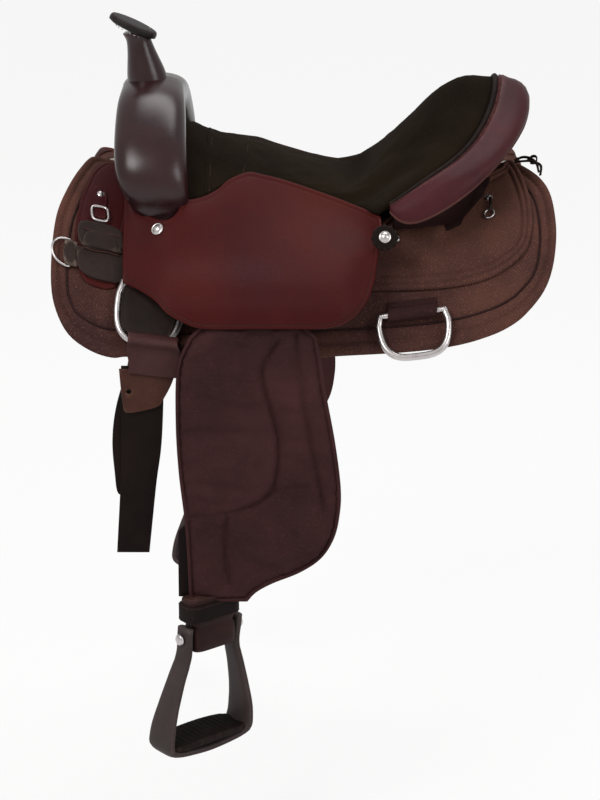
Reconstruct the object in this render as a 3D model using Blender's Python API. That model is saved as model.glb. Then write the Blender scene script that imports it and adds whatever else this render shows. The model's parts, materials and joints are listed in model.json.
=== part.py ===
"""A western trail saddle: a wooden tree under leather, skirts and fenders of woven nylon, hanging stirrups.

The cantle is at +X, the horn at -X, the near side at -Y, and +Z is up. Sizes are metres.
Every sheet that lies on the horse's back is drawn in two numbers: x, and w, the distance from the
centre line. The back falls away from the centre line by one formula, and h is a height over it.
"""
import math

import bpy
import bmesh
from mathutils import Vector
from mathutils.geometry import delaunay_2d_cdt

# Clearances
GAP = 0.0003  # between pieces that touch
SLACK = 0.0006  # between pieces that are shaped over each other

# The horse's back, under the skirts
SPINE_Z = 0.035
BACK_SLOPE = 0.05
BACK_CURVE = 3.0
BACK_DIP_X, BACK_DIP = 0.03, 0.045  # the back rises this much, 0.3 m before and behind its lowest place
FOLD_STEP = 0.025  # the back is flat between lines this far apart, and along it this far:
LONG_FOLD_STEP = 0.06
CHANNEL = 0.020  # half the gap between the two skirts

# Thicknesses
SKIRT_T = 0.007
FLEECE_T = 0.014
JOCKEY_T = 0.0042
BAR_T = 0.013
BAR_RIM_T = 0.006
STRAP_T = 0.0035
SEAT_PAD_T = 0.007
GROUND_T = 0.003
FENDER_T = 0.0065

# The tree
BAR_FRONT, BAR_REAR = -0.200, 0.262
BAR_IN, BAR_OUT = 0.045, 0.128
FORK_X = -0.178
HORN_X = -0.186
HORN_TOP_X = -0.198
HORN_BASE_Z = 0.172
HORN_NECK_Z = 0.232
HORN_CAP_R = 0.0355
HORN_CAP_T = 0.016
HORN_TILT = math.radians(22)
HORN_POST_R = 0.011
SWELL_LEATHER_T = 0.004
SWELL_TAB = 0.034  # how far the swell's leather hangs below its widest sections
TAB_X, TAB_NARROW = -0.166, 0.72

# The cantle, whose rim is half an ellipse seen from above
RIM_X = 0.115
RIM_DEEP = 0.150
RIM_HALF = 0.172
BINDING_R = 0.0035
CANTLE_WALL = 0.012
ROLL_T = 0.006

# The seat
SEAT_FRONT = -0.137
SEAT_EDGE_INSET = 0.0025

# The seat jockey's lower hem
JOCKEY_HEM_Z = -0.083
JOCKEY_HEM_Y = 0.274
JOCKEY_STAND_OFF = 0.026

# The fender hangs in a plane that leans out as it goes down
FENDER_TOP_Z = -0.107
FENDER_OUT_Y = 0.2665
FENDER_LEAN = math.radians(5)
FENDER_PIVOT = (-0.045, 0.140, -0.006)
LEATHER_W = 0.066
LEATHER_X = -0.045

# The stirrup, turned out about the vertical
STIRRUP_X, STIRRUP_Y = -0.112, 0.292
STIRRUP_TURN = math.radians(33)
BOLT_Z = -0.486
BOLT_R = 0.004
NECK_RISE = 0.048  # how far the bound neck reaches over the bolt
STIRRUP_BASE_Z = -0.632
STIRRUP_HALF = 0.076
EAR_HALF = 0.040
FRAME_T = 0.011
TREAD_T = 0.008
TREAD_DEEP = 0.050
EAR_DEEP = 0.026

# Dees: centre x, hinge w, half width, length, wire radius, lean of the hanging dee
DEE_WIRE = 0.0042
FRONT_DEE_X, FRONT_DEE_W, FRONT_DEE_HALF, FRONT_DEE_LONG = -0.172, 0.188, 0.041, 0.078
REAR_DEE_X, REAR_DEE_W, REAR_DEE_HALF, REAR_DEE_LONG = 0.156, 0.202, 0.0425, 0.070
FRONT_DEE_LEAN = math.radians(52)
REAR_DEE_LEAN = math.radians(55)
LOOP_HOLE = 0.0010  # room round a dee's bar in its strap

# Latigo and off billet
LATIGO_W = 0.041
LATIGO_T = 0.003
LATIGO_HOLE = 0.0070
LATIGO_END_Z = -0.394
LATIGO_IN_Y = 0.2492

SIDES = (("left", -1), ("right", 1))

for old in list(bpy.data.objects):
    bpy.data.objects.remove(old, do_unlink=True)


# Materials

def material(name, colour, roughness, metallic=0.0):
    made = bpy.data.materials.new(name)
    made.use_nodes = True
    shader = made.node_tree.nodes["Principled BSDF"]
    shader.inputs["Base Color"].default_value = (*colour, 1.0)
    shader.inputs["Roughness"].default_value = roughness
    shader.inputs["Metallic"].default_value = metallic
    return made


BURGUNDY = material("burgundy_leather", (0.070, 0.016, 0.015), 0.42)
GLOSSY = material("glossy_leather", (0.040, 0.013, 0.014), 0.22)
SUEDE = material("suede", (0.020, 0.014, 0.010), 0.95)
CORDURA = material("woven_nylon", (0.075, 0.032, 0.026), 0.85)
QUILT = material("quilted_nylon", (0.060, 0.024, 0.024), 0.8)
DARK = material("dark_strap", (0.020, 0.014, 0.014), 0.6)
LATIGO_TAN = material("latigo_leather", (0.085, 0.035, 0.022), 0.55)
FLEECE = material("fleece", (0.62, 0.55, 0.45), 1.0)
WOOD = material("tree_wood", (0.060, 0.036, 0.024), 0.6)
STEEL = material("steel", (0.62, 0.58, 0.57), 0.3, 1.0)
GREY = material("stirrup_leather_grey", (0.060, 0.050, 0.048), 0.6)


# Shapes in general

def glide(points, at):
    """A smooth curve through (place, value) points, read at one place."""
    if at <= points[0][0]:
        return points[0][1]
    if at >= points[-1][0]:
        return points[-1][1]
    spot = next(i for i in range(len(points) - 1) if at <= points[i + 1][0])
    slopes = []
    for k in (spot, spot + 1):
        a, b = points[max(k - 1, 0)], points[min(k + 1, len(points) - 1)]
        slopes.append((b[1] - a[1]) / (b[0] - a[0]))
    (x0, y0), (x1, y1) = points[spot], points[spot + 1]
    span = x1 - x0
    t = (at - x0) / span
    return ((2 * t**3 - 3 * t**2 + 1) * y0 + (t**3 - 2 * t**2 + t) * span * slopes[0]
            + (3 * t**2 - 2 * t**3) * y1 + (t**3 - t**2) * span * slopes[1])


def ease(low, high, at):
    t = min(max((at - low) / (high - low), 0.0), 1.0)
    return t * t * (3 - 2 * t)


def outline(points, step):
    """A closed line through points, smooth except at those marked as corners by a third entry."""
    count = len(points)
    line = []
    for i, start in enumerate(points):
        end = points[(i + 1) % count]
        p0, p1 = Vector(start[:2]), Vector(end[:2])
        before, after = Vector(points[i - 1][:2]), Vector(points[(i + 2) % count][:2])
        m0 = p1 - p0 if len(start) > 2 else (p1 - before) / 2
        m1 = p1 - p0 if len(end) > 2 else (after - p0) / 2
        pieces = max(1, round((p1 - p0).length / step))
        for k in range(pieces):
            t = k / pieces
            line.append((2 * t**3 - 3 * t**2 + 1) * p0 + (t**3 - 2 * t**2 + t) * m0
                        + (3 * t**2 - 2 * t**3) * p1 + (t**3 - t**2) * m1)
    return line


def circle(u, v, radius, count):
    return [Vector((u + radius * math.cos(2 * math.pi * k / count),
                    v + radius * math.sin(2 * math.pi * k / count))) for k in range(count)]


def grown(loop, much):
    """A closed line moved outward all round."""
    area = sum(a.x * b.y - b.x * a.y for a, b in zip(loop, loop[1:] + loop[:1]))
    line = []
    for i, p in enumerate(loop):
        way = (loop[(i + 1) % len(loop)] - loop[i - 1]).normalized()
        line.append(p + Vector((way.y, -way.x)) * math.copysign(much, area))
    return line


def is_inside(loop, at):
    inside = False
    for a, b in zip(loop, loop[1:] + loop[:1]):
        if (a.y > at.y) != (b.y > at.y) and at.x < (b.x - a.x) * (at.y - a.y) / (b.y - a.y) + a.x:
            inside = not inside
    return inside


def distance_to(line, at):
    """How far a point is from a line of points, taken as closed."""
    best = 1.0
    for a, b in zip(line, line[1:] + line[:1]):
        way = b - a
        t = min(max((at - a).dot(way) / max(way.length_squared, 1e-12), 0.0), 1.0)
        best = min(best, (a + way * t - at).length)
    return best


def add(name, verts, faces, look, sharp=35.0, origin=None, parent=None):
    """An object of one closed mesh, its faces pointing out."""
    mesh = bpy.data.meshes.new(name)
    base = Vector(origin) if origin else Vector((0, 0, 0))
    mesh.from_pydata([Vector(v) - base for v in verts], [], faces)
    work = bmesh.new()
    work.from_mesh(mesh)
    bmesh.ops.recalc_face_normals(work, faces=work.faces)
    work.to_mesh(mesh)
    work.free()
    mesh.materials.append(look)
    mesh.shade_smooth()
    mesh.set_sharp_from_angle(angle=math.radians(sharp))
    made = bpy.data.objects.new(name, mesh)
    bpy.context.collection.objects.link(made)
    made.location = base
    if parent:
        made.parent = parent
        made.location = base - parent.matrix_world.translation
    return made


def slab(name, rim, place, low, high, look, u_lines=(), v_lines=(), holes=(), **more):
    """A closed sheet: an outline in (u, v) with holes, folded along given lines, from low to high.

    place(u, v, h) gives a point at height h over the surface. low and high are heights or functions.
    """
    lines = {0: sorted(u_lines), 1: sorted(v_lines)}
    near = 0.0012
    loops = []
    for loop in (rim, *holes):
        snapped = [Vector(p) for p in loop]
        for p in snapped:
            for axis in (0, 1):
                for at in lines[axis]:
                    if abs(p[axis] - at) < near:
                        p[axis] = at
        loops.append([p for i, p in enumerate(snapped) if (p - snapped[i - 1]).length > 1e-5])
    points, edges = [], []
    for loop in loops:
        first = len(points)
        points += loop
        edges += [(first + i, first + (i + 1) % len(loop)) for i in range(len(loop))]
    lows = [min(p[a] for p in loops[0]) - 0.01 for a in (0, 1)]
    highs = [max(p[a] for p in loops[0]) + 0.01 for a in (0, 1)]
    for axis in (0, 1):
        for at in lines[axis]:
            if lows[axis] + 0.01 < at < highs[axis] - 0.01:
                ends = (Vector((at, lows[1])), Vector((at, highs[1]))) if axis == 0 else (
                    Vector((lows[0], at)), Vector((highs[0], at)))
                points += ends
                edges.append((len(points) - 2, len(points) - 1))
    flat, _, tris, *_ = delaunay_2d_cdt(points, edges, [], 0, 1e-6)
    kept = []
    for tri in tris:
        middle = sum((flat[i] for i in tri), Vector((0, 0))) / len(tri)
        if is_inside(loops[0], middle) and not any(is_inside(hole, middle) for hole in loops[1:]):
            kept.append(tuple(tri))
    used = sorted({i for tri in kept for i in tri})
    row = {old: new for new, old in enumerate(used)}
    verts, count = [], len(used)
    for side in (low, high):
        for i in used:
            u, v = flat[i]
            verts.append(place(u, v, side(u, v) if callable(side) else side))
    faces, met = [], {}
    for tri in kept:
        a = [row[i] for i in tri]
        faces.append([i + count for i in a])
        faces.append(a[::-1])
        for i, j in zip(a, a[1:] + a[:1]):
            met[(i, j)] = met.get((i, j), 0) + 1
    for i, j in list(met):
        if (j, i) not in met:
            faces.append([j, i, i + count, j + count])
    return add(name, verts, faces, look, **more)


def loft(name, rings, look, closed=False, **more):
    """A closed solid through rings of points: capped at its ends, or joined up if closed."""
    size = len(rings[0])
    verts = [p for ring in rings for p in ring]
    faces = []
    for r in range(len(rings) - (0 if closed else 1)):
        a, b = r * size, (r + 1) % len(rings) * size
        faces += [[a + k, a + (k + 1) % size, b + (k + 1) % size, b + k] for k in range(size)]
    if not closed:
        faces += [list(range(size))[::-1], [len(verts) - size + k for k in range(size)]]
    return add(name, verts, faces, look, **more)


def sleeve(name, outer, inner, look, **more):
    """A tube with a wall, open at both ends, from rings outside and rings inside."""
    size, rows = len(outer[0]), len(outer)
    verts = [p for ring in outer for p in ring] + [p for ring in inner for p in ring]
    shift = size * rows
    faces = []
    for r in range(rows - 1):
        for k in range(size):
            a, b = r * size + k, r * size + (k + 1) % size
            faces += [[a, b, b + size, a + size], [shift + a, shift + a + size, shift + b + size, shift + b]]
    for k in range(size):
        a, b = k, (k + 1) % size
        faces.append([a, shift + a, shift + b, b])
        a, b = a + shift - size, b + shift - size
        faces.append([a, b, shift + b, shift + a])
    return add(name, verts, faces, look, **more)


def turned(name, profile, at, axis, look, count=20, **more):
    """A turned solid from (radius, height) points that start and end on its axis."""
    axis = Vector(axis).normalized()
    across = axis.orthogonal().normalized()
    third = axis.cross(across)
    at = Vector(at)
    verts = [at + axis * profile[0][1]]
    for radius, height in profile[1:-1]:
        for k in range(count):
            angle = 2 * math.pi * k / count
            verts.append(at + axis * height + (across * math.cos(angle) + third * math.sin(angle)) * radius)
    verts.append(at + axis * profile[-1][1])
    faces = []
    rows = len(profile) - 2
    for k in range(count):
        nxt = (k + 1) % count
        faces.append([0, 1 + nxt, 1 + k])
        for r in range(rows - 1):
            a = 1 + r * count
            faces.append([a + k, a + nxt, a + count + nxt, a + count + k])
        last = 1 + (rows - 1) * count
        faces.append([last + k, last + nxt, len(verts) - 1])
    return add(name, verts, faces, look, **more)


def ring_at(centre, along, up, half_along, half_up, count, power=2.0):
    """Points round a rounded section, squarer the higher the power."""
    points = []
    for k in range(count):
        angle = 2 * math.pi * k / count
        c, s = math.cos(angle), math.sin(angle)
        points.append(centre + along * half_along * math.copysign(abs(c) ** (2 / power), c)
                      + up * half_up * math.copysign(abs(s) ** (2 / power), s))
    return points


def rod(name, path, radius, look, count=8, **more):
    """A round closed wire along a flat closed path."""
    middle = sum(path, Vector()) / len(path)
    flat = (path[0] - middle).cross(path[len(path) // 4] - middle).normalized()
    rings = []
    for i, p in enumerate(path):
        along = (path[(i + 1) % len(path)] - path[i - 1]).normalized()
        rings.append(ring_at(p, flat, along.cross(flat), radius, radius, count))
    return loft(name, rings, look, closed=True, **more)


def cut_by(piece, cutter):
    """Cut a piece with a hidden copy of its neighbour's space."""
    cutter.hide_render = True
    cutter.display_type = "WIRE"
    trim = piece.modifiers.new("cut", "BOOLEAN")
    trim.operation = "DIFFERENCE"
    trim.object = cutter


# The back and what lies on it

def back_rise(x):
    """How much the back rises towards its ends, straight between the fold lines."""
    index = math.floor(x / LONG_FOLD_STEP + 1e-9)
    x0 = index * LONG_FOLD_STEP
    z0, z1 = (BACK_DIP * ((a - BACK_DIP_X) / 0.3)**2 for a in (x0, x0 + LONG_FOLD_STEP))
    return z0 + (z1 - z0) * (x - x0) / LONG_FOLD_STEP


def back_z(x, w):
    """The back's height, straight between the fold lines."""
    index = math.floor(w / FOLD_STEP + 1e-9)
    w0, w1 = index * FOLD_STEP, (index + 1) * FOLD_STEP
    z0, z1 = (SPINE_Z - BACK_SLOPE * a - BACK_CURVE * a * a for a in (w0, w1))
    return z0 + (z1 - z0) * (w - w0) / FOLD_STEP + back_rise(x)


def back_fall(w):
    return BACK_SLOPE + 2 * BACK_CURVE * w


def over_back(x, w, h):
    """A point at height h over the back, on the side where Y is positive."""
    fall = back_fall(w)
    length = math.hypot(1, fall)
    return Vector((x, w + h * fall / length, back_z(x, w) + h / length))


def back_on(side):
    def place(x, w, h):
        p = over_back(x, w, h)
        return Vector((p.x, side * p.y, p.z))
    return place


def back_slope(x):
    return 2 * BACK_DIP * (x - BACK_DIP_X) / 0.3**2


def out_from_back(side, x, w):
    return Vector((-back_slope(x), side * back_fall(w), 1)).normalized()


FOLDS = [k * FOLD_STEP for k in range(1, 12)]
SKIRT_TOP = SKIRT_T + GAP

SKIRT_RIM = [
    (-0.243, CHANNEL, 1), (-0.258, 0.050), (-0.273, 0.080), (-0.295, 0.141), (-0.302, 0.189),
    (-0.300, 0.221), (-0.290, 0.238), (-0.270, 0.247), (-0.245, 0.246), (-0.222, 0.241), (-0.195, 0.238),
    (-0.060, 0.237),
    (0.064, 0.235), (0.195, 0.236), (0.266, 0.233), (0.302, 0.226), (0.327, 0.211), (0.338, 0.187),
    (0.341, 0.161), (0.341, 0.130), (0.334, 0.099), (0.319, 0.071), (0.300, CHANNEL, 1),
]
REAR_JOCKEY_RIM = [
    (0.086, 0.134, 1), (0.106, 0.134), (0.118, 0.126), (0.128, 0.108), (0.150, 0.104), (0.172, 0.104),
    (0.182, 0.116), (0.187, 0.131), (0.200, 0.134), (0.222, 0.131), (0.243, 0.118), (0.264, 0.094),
    (0.279, 0.062), (0.286, 0.030, 1), (0.295, 0.052), (0.303, 0.098), (0.306, 0.144),
    (0.299, 0.167), (0.277, 0.181), (0.250, 0.188), (0.214, 0.188), (0.161, 0.186), (0.086, 0.183, 1),
]
FRONT_JOCKEY_RIM = [
    (-0.254, 0.055, 1), (-0.270, 0.122), (-0.278, 0.164), (-0.277, 0.190), (-0.267, 0.200),
    (-0.252, 0.203), (-0.235, 0.201), (-0.220, 0.196, 1), (-0.212, 0.140), (-0.206, 0.110),
    (-0.210, 0.075), (-0.232, 0.052, 1),
]
BAR_RIM = [
    (BAR_FRONT, BAR_IN + 0.015), (BAR_FRONT + 0.02, BAR_IN), (0.0, BAR_IN), (BAR_REAR - 0.02, BAR_IN),
    (BAR_REAR, BAR_IN + 0.014), (BAR_REAR - 0.010, 0.085), (BAR_REAR - 0.035, 0.110),
    (BAR_REAR - 0.070, BAR_OUT), (0.0, BAR_OUT), (-0.11, BAR_OUT), (-0.145, BAR_OUT + 0.012),
    (-0.178, BAR_OUT + 0.012), (BAR_FRONT, BAR_OUT - 0.020),
]
X_FOLDS = [k * LONG_FOLD_STEP for k in range(-5, 6)]


def skirts_and_linings():
    for word, side in SIDES:
        rim = outline(SKIRT_RIM, 0.025)
        slab(f"skirt_{word}", rim, back_on(side), 0.0, SKIRT_T, CORDURA, X_FOLDS, FOLDS)
        slab(f"fleece_{word}", rim, back_on(side), -FLEECE_T, -GAP, FLEECE, X_FOLDS, FOLDS)


CLIMB_W = (0.1105, 0.1315, 0.143)  # where the rear jockey comes down over the bar's edge
CLIMB_X = (0.190, 0.203)


def climb(x, w):
    """How far over the skirt the rear jockey lies, where it climbs over the bar."""
    high, edge = BAR_T + 2 * GAP, BAR_RIM_T + 0.0011
    if w < CLIMB_W[1]:
        lift = edge + (high - edge) * min((CLIMB_W[1] - w) / (CLIMB_W[1] - CLIMB_W[0]), 1.0)
    else:
        lift = edge * max(1 - (w - CLIMB_W[1]) / (CLIMB_W[2] - CLIMB_W[1]), 0.0)
    return lift * min(max((CLIMB_X[1] - x) / (CLIMB_X[1] - CLIMB_X[0]), 0.0), 1.0)


def jockeys_on_the_back():
    for word, side in SIDES:
        slab(f"rear_jockey_{word}", outline(REAR_JOCKEY_RIM, 0.02), back_on(side),
             lambda x, w: SKIRT_TOP + climb(x, w), lambda x, w: SKIRT_TOP + climb(x, w) + JOCKEY_T, CORDURA,
             [*X_FOLDS, 0.150, *CLIMB_X], [*FOLDS, *CLIMB_W])
        slab(f"front_jockey_{word}", outline(FRONT_JOCKEY_RIM, 0.02), back_on(side), SKIRT_TOP,
             SKIRT_TOP + JOCKEY_T, BURGUNDY, X_FOLDS, FOLDS)


def bar_thickness(rim):
    def top(x, w):
        edge = distance_to(rim, Vector((x, w)))
        return SKIRT_TOP + BAR_RIM_T + (BAR_T - BAR_RIM_T) * ease(0.0, 0.022, edge)
    return top


def tree_bars():
    """The two bars, and for each a hidden cutter a little larger, for what stands on it."""
    cutters = []
    for word, side in SIDES:
        rim = outline(BAR_RIM, 0.02)
        lines = X_FOLDS, FOLDS + [0.060, 0.112]
        slab(f"tree_bar_{word}", rim, back_on(side), SKIRT_TOP, bar_thickness(rim), WOOD, *lines)
        top = bar_thickness(rim)
        cutters.append(slab(f"bar_space_{word}", grown(rim, GAP * 1.5), back_on(side), SKIRT_TOP - 0.05,
                            lambda x, w: top(x, w) + GAP, WOOD, *lines))
    return cutters


def stand_z(x, y):
    """The height at which the cantle's foot meets the bars' tops."""
    w = max(abs(y), BAR_IN)
    return back_z(x, w) + (SKIRT_TOP + BAR_T) * math.hypot(1, back_fall(w)) - 0.0006


# The cantle's rim and roll

RIM_Z = [(-22, 0.156), (0, 0.181), (22, 0.156), (39, 0.128), (50, 0.112), (68, 0.0885), (80, 0.0675), (90, 0.047)]
ROLL_OUT = [(0, 0.050), (20, 0.052), (40, 0.050), (56, 0.044), (66, 0.034), (80, 0.022), (90, 0.013)]
ROLL_DROP = [(0, 0.060), (20, 0.053), (40, 0.054), (56, 0.056), (66, 0.052), (80, 0.034), (90, 0.012)]


def rim_z(degrees):
    return glide(RIM_Z, abs(degrees))


def rim_point(degrees, outward, rise):
    """A point beside the cantle's rim: outward from it, and above it."""
    angle = math.radians(degrees)
    out = Vector((math.cos(angle) / RIM_DEEP, math.sin(angle) / RIM_HALF, 0)).normalized()
    spot = Vector((RIM_X + RIM_DEEP * math.cos(angle), RIM_HALF * math.sin(angle), rim_z(degrees) + rise))
    return spot + out * outward


RIM_STEPS = [-90 + 7.5 * k for k in range(25)]


def cantle():
    core, back, roll, binding = [], [], [], []
    for degrees in RIM_STEPS:
        a = abs(degrees)
        out, drop = glide(ROLL_OUT, a), glide(ROLL_DROP, a)
        wall = CANTLE_WALL * (1 - 0.45 * ease(70, 90, a))
        low_rise = -0.030 * (1 - ease(50, 62, a)) - 0.016
        ring = [rim_point(degrees, -0.006, -0.0125), rim_point(degrees, -0.001, -0.0066),
                rim_point(degrees, wall * 0.5, -0.0070 - 0.10 * drop * wall / out)]
        foot_out = rim_point(degrees, wall, 0)
        foot_in = rim_point(degrees, -0.010, 0)
        if a < 54:
            foot_out.z = stand_z(foot_out.x, foot_out.y)
            foot_in.z = stand_z(foot_in.x, foot_in.y)
        else:
            foot_out.z = rim_z(degrees) + low_rise - 0.008
            foot_in.z = rim_z(degrees) + low_rise - 0.008
        ring += [foot_out, foot_in]
        core.append(ring)
        tops = [(BINDING_R + SLACK, 0.000, 0, -1), (0.40 * out, -0.08 * drop, -0.2, -1),
                (0.80 * out, -0.30 * drop, -0.6, -0.8), (out, -0.70 * drop, -1, -0.2),
                (0.97 * out, -drop, -1, 0.1)]
        top = [rim_point(degrees, o, r) for o, r, _, _ in tops]
        under = [rim_point(degrees, o + ROLL_T * a, r + ROLL_T * b) for o, r, a, b in tops][::-1]
        roll.append(top + under)
        hub = rim_point(degrees, 0, -0.0015)
        out_way = (rim_point(degrees, 1, 0) - rim_point(degrees, 0, 0)).normalized()
        binding.append(ring_at(hub, out_way, Vector((0, 0, 1)), BINDING_R, BINDING_R + 0.001, 8))
    return loft("tree_cantle", core, BURGUNDY), loft("cantle_roll", roll, BURGUNDY), loft(
        "cantle_binding", binding, DARK)


# The seat jockey's flank, drawn in x and z

FLANK = [(-0.115, 0.278), (JOCKEY_HEM_Z, JOCKEY_HEM_Y), (-0.060, 0.2705), (-0.045, 0.2610), (-0.030, 0.246),
         (-0.005, 0.207)]
SEAT_EDGE_W = [(-0.137, 0.142), (-0.113, 0.136), (-0.093, 0.124), (-0.078, 0.110), (-0.054, 0.099),
               (-0.030, 0.095), (0.000, 0.093), (0.039, 0.099), (0.075, 0.116), (0.100, 0.138),
               (0.115, 0.160)]
SEAT_EDGE = [(-0.137, 0.051), (-0.113, 0.049), (-0.093, 0.055), (-0.078, 0.064), (-0.054, 0.069),
             (-0.037, 0.065), (-0.002, 0.050), (0.039, 0.036), (0.075, 0.027), (0.100, 0.026),
             (RIM_X, 0.034)]


def skirt_width(x, z):
    """How far out the skirt's top is at a height."""
    rise = max(SPINE_Z + back_rise(x) + SKIRT_T * 1.4 - z, 0.0)
    return (-BACK_SLOPE + math.sqrt(BACK_SLOPE**2 + 4 * BACK_CURVE * rise)) / (2 * BACK_CURVE)


def flank_y(x, z):
    edge_w, edge_z = glide(SEAT_EDGE_W, x) + SEAT_EDGE_INSET, glide(SEAT_EDGE, x)
    top = [(edge_z - 0.020, edge_w + 0.026), (edge_z, edge_w), (edge_z + 0.012, edge_w - 0.006)]
    full = glide([p for p in FLANK if p[0] < edge_z - 0.035] + top, z)
    snug = skirt_width(x, z) + JOCKEY_STAND_OFF
    swell = ease(-0.225, -0.150, x)
    rear = 1 - 0.45 * ease(0.06, 0.115, x) * (1 - ease(-0.03, 0.01, z))
    return snug + (full - snug) * swell * rear


def flank_on(side):
    def place(x, z, h):
        step = 0.002
        y = flank_y(x, z)
        dx = (flank_y(x + step, z) - flank_y(x - step, z)) / (2 * step)
        dz = (flank_y(x, z + step) - flank_y(x, z - step)) / (2 * step)
        out = Vector((-dx, 1, -dz)).normalized()
        p = Vector((x, y, z)) + out * h
        return Vector((p.x, side * p.y, p.z))
    return place


SEAT_EDGE = [(-0.137, 0.055), (-0.113, 0.058), (-0.093, 0.065), (-0.078, 0.075), (-0.054, 0.082),
             (-0.037, 0.079), (-0.002, 0.069), (0.039, 0.056), (0.080, 0.045), (0.100, 0.041),
             (RIM_X, 0.042)]
JOCKEY_TOP_DROP = 0.003
SEAT_JOCKEY_LOW = [
    (0.101, 0.010), (0.107, 0.000), (0.110, -0.016), (0.107, -0.035), (0.099, -0.055), (0.083, -0.070),
    (0.062, -0.079), (0.035, JOCKEY_HEM_Z), (-0.030, JOCKEY_HEM_Z), (-0.105, JOCKEY_HEM_Z),
    (-0.132, -0.075), (-0.153, -0.063), (-0.172, -0.049), (-0.207, -0.038, 1),
    (-0.207, 0.029, 1), (-0.186, 0.022), (-0.168, 0.019), (-0.150, 0.024),
]


def seat_jockeys():
    top = [(x, z - JOCKEY_TOP_DROP) for x, z in SEAT_EDGE if x < 0.105]
    top[0] = (*top[0], 1)
    top[-1] = (*top[-1], 1)
    rim = outline(top + SEAT_JOCKEY_LOW, 0.016)
    lines_x = [-0.19 + 0.025 * k for k in range(13)]
    lines_z = [-0.07 + 0.018 * k for k in range(8)]
    for word, side in SIDES:
        slab(f"seat_jockey_{word}", rim, flank_on(side), -JOCKEY_T, 0.0, BURGUNDY, lines_x, lines_z,
             sharp=50)


# The seat, on stations from front to back and angles across

SEAT_MID = [(SEAT_FRONT, 0.118), (-0.098, 0.103), (-0.047, 0.097), (0.010, 0.079), (0.049, 0.069),
            (0.090, 0.067), (0.120, 0.072), (0.155, 0.090), (0.190, 0.116), (0.220, 0.143),
            (0.245, 0.167), (RIM_X + RIM_DEEP, 0.180)]
SEAT_STATIONS = 22
SEAT_ANGLES = [-90, -78, -64, -48, -32, -16, 0, 16, 32, 48, 64, 78, 90]


def seat_point(along, degrees, drop, inset):
    """A point of the seat's top: along from 0 in front to 1 at the rim, and across by an angle."""
    angle = math.radians(degrees)
    end = RIM_X + (RIM_DEEP - inset) * math.cos(angle) * along**1.6
    x = SEAT_FRONT + along * (end - SEAT_FRONT)
    x_mid = SEAT_FRONT + along * (RIM_X + (RIM_DEEP - inset) * along**1.6 - SEAT_FRONT)
    x_edge = SEAT_FRONT + along * (RIM_X - SEAT_FRONT)
    edge_z = glide(SEAT_EDGE, x_edge)
    half = glide(SEAT_EDGE_W, x_edge)
    half += (RIM_HALF - inset - half) * ease(0.92, 1.0, along)
    crown = math.cos(angle) ** 2
    mid_z = glide(SEAT_MID, x_mid)
    z = edge_z + (mid_z - edge_z) * crown
    z += (rim_z(degrees) - z) * ease(0.62, 1.0, along) ** 1.3
    return Vector((x, half * math.sin(angle), z - drop))


def seat_solid(name, top_drop, thickness, inset, look, stations):
    """One layer of the seat: every layer has the same grid, so that none cuts through the next."""
    wide = len(SEAT_ANGLES)
    size = wide * (stations + 1)
    top, under = [], []
    for k in range(stations + 1):
        for d in SEAT_ANGLES:
            spot = seat_point(k / SEAT_STATIONS, d, top_drop, inset)
            top.append(spot)
            under.append(spot - Vector((0, 0, thickness(k / SEAT_STATIONS, d))))
    faces = []
    for k in range(stations):
        for i in range(wide - 1):
            a = k * wide + i
            corners = (a, a + 1, a + wide + 1), (a, a + wide + 1, a + wide)
            faces += [list(c) for c in corners]
            faces += [[j + size for j in c[::-1]] for c in corners]
    edge = [*range(wide), *(k * wide + wide - 1 for k in range(1, stations + 1)),
            *(stations * wide + i for i in range(wide - 2, -1, -1)), *(k * wide for k in range(stations - 1, 0, -1))]
    for i, j in zip(edge, edge[1:] + edge[:1]):
        faces.append([j, i, i + size, j + size])
    return add(name, top + under, faces, look, sharp=60)


def pad_thickness(_along, degrees):
    return SEAT_PAD_T * (0.75 + 0.25 * math.cos(math.radians(degrees)))


def ground_thickness(along, degrees):
    return GROUND_T


# Fork, swell and horn

def swell_rings(shrink, foot_drop, steps):
    """Sections of the swell from one foot over the top to the other."""
    rings = []
    for k in range(steps + 1):
        t = -90 + 180 * k / steps
        a = abs(t)
        y = glide([(0, 0.0), (18, 0.060), (38, 0.112), (58, 0.140), (76, 0.148), (90, 0.146)], a)
        z = glide([(0, 0.168), (18, 0.164), (38, 0.146), (58, 0.112), (76, 0.072), (90, 0.046)], a)
        half_x = glide([(0, 0.031), (20, 0.036), (45, 0.044), (65, 0.043), (80, 0.035), (90, 0.024)], a)
        half_r = glide([(0, 0.020), (20, 0.024), (42, 0.030), (62, 0.025), (80, 0.016), (90, 0.011)], a)
        x = glide([(0, HORN_X), (30, -0.180), (60, FORK_X), (90, -0.170)], a)
        tilt = math.radians(glide([(0, 90), (38, 50), (58, 22), (90, -6)], a))
        y = math.copysign(y, t) if t else 0.0
        up = Vector((0, math.copysign(math.cos(tilt), t if t else 1), math.sin(tilt)))
        if t == 0:
            up = Vector((0, 0, 1))
        spot = Vector((x, y, z))
        rings.append(ring_at(spot, Vector((1, 0, 0)), up if t <= 0 else up, half_x - shrink,
                             half_r - shrink, 16, 2.4))
        if t > 0:
            rings[-1] = ring_at(spot, Vector((1, 0, 0)), up, half_x - shrink, half_r - shrink, 16, 2.4)
    return rings


def order_rings(rings):
    """Turn each ring's start so that it lines up with the ring before it."""
    out = [rings[0]]
    for ring in rings[1:]:
        size = len(ring)
        options = []
        for way in (1, -1):
            turned_ring = ring[::way]
            for shift in range(size):
                moved = turned_ring[shift:] + turned_ring[:shift]
                options.append((sum((a - b).length for a, b in zip(moved, out[-1])), moved))
        out.append(min(options, key=lambda o: o[0])[1])
    return out


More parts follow.
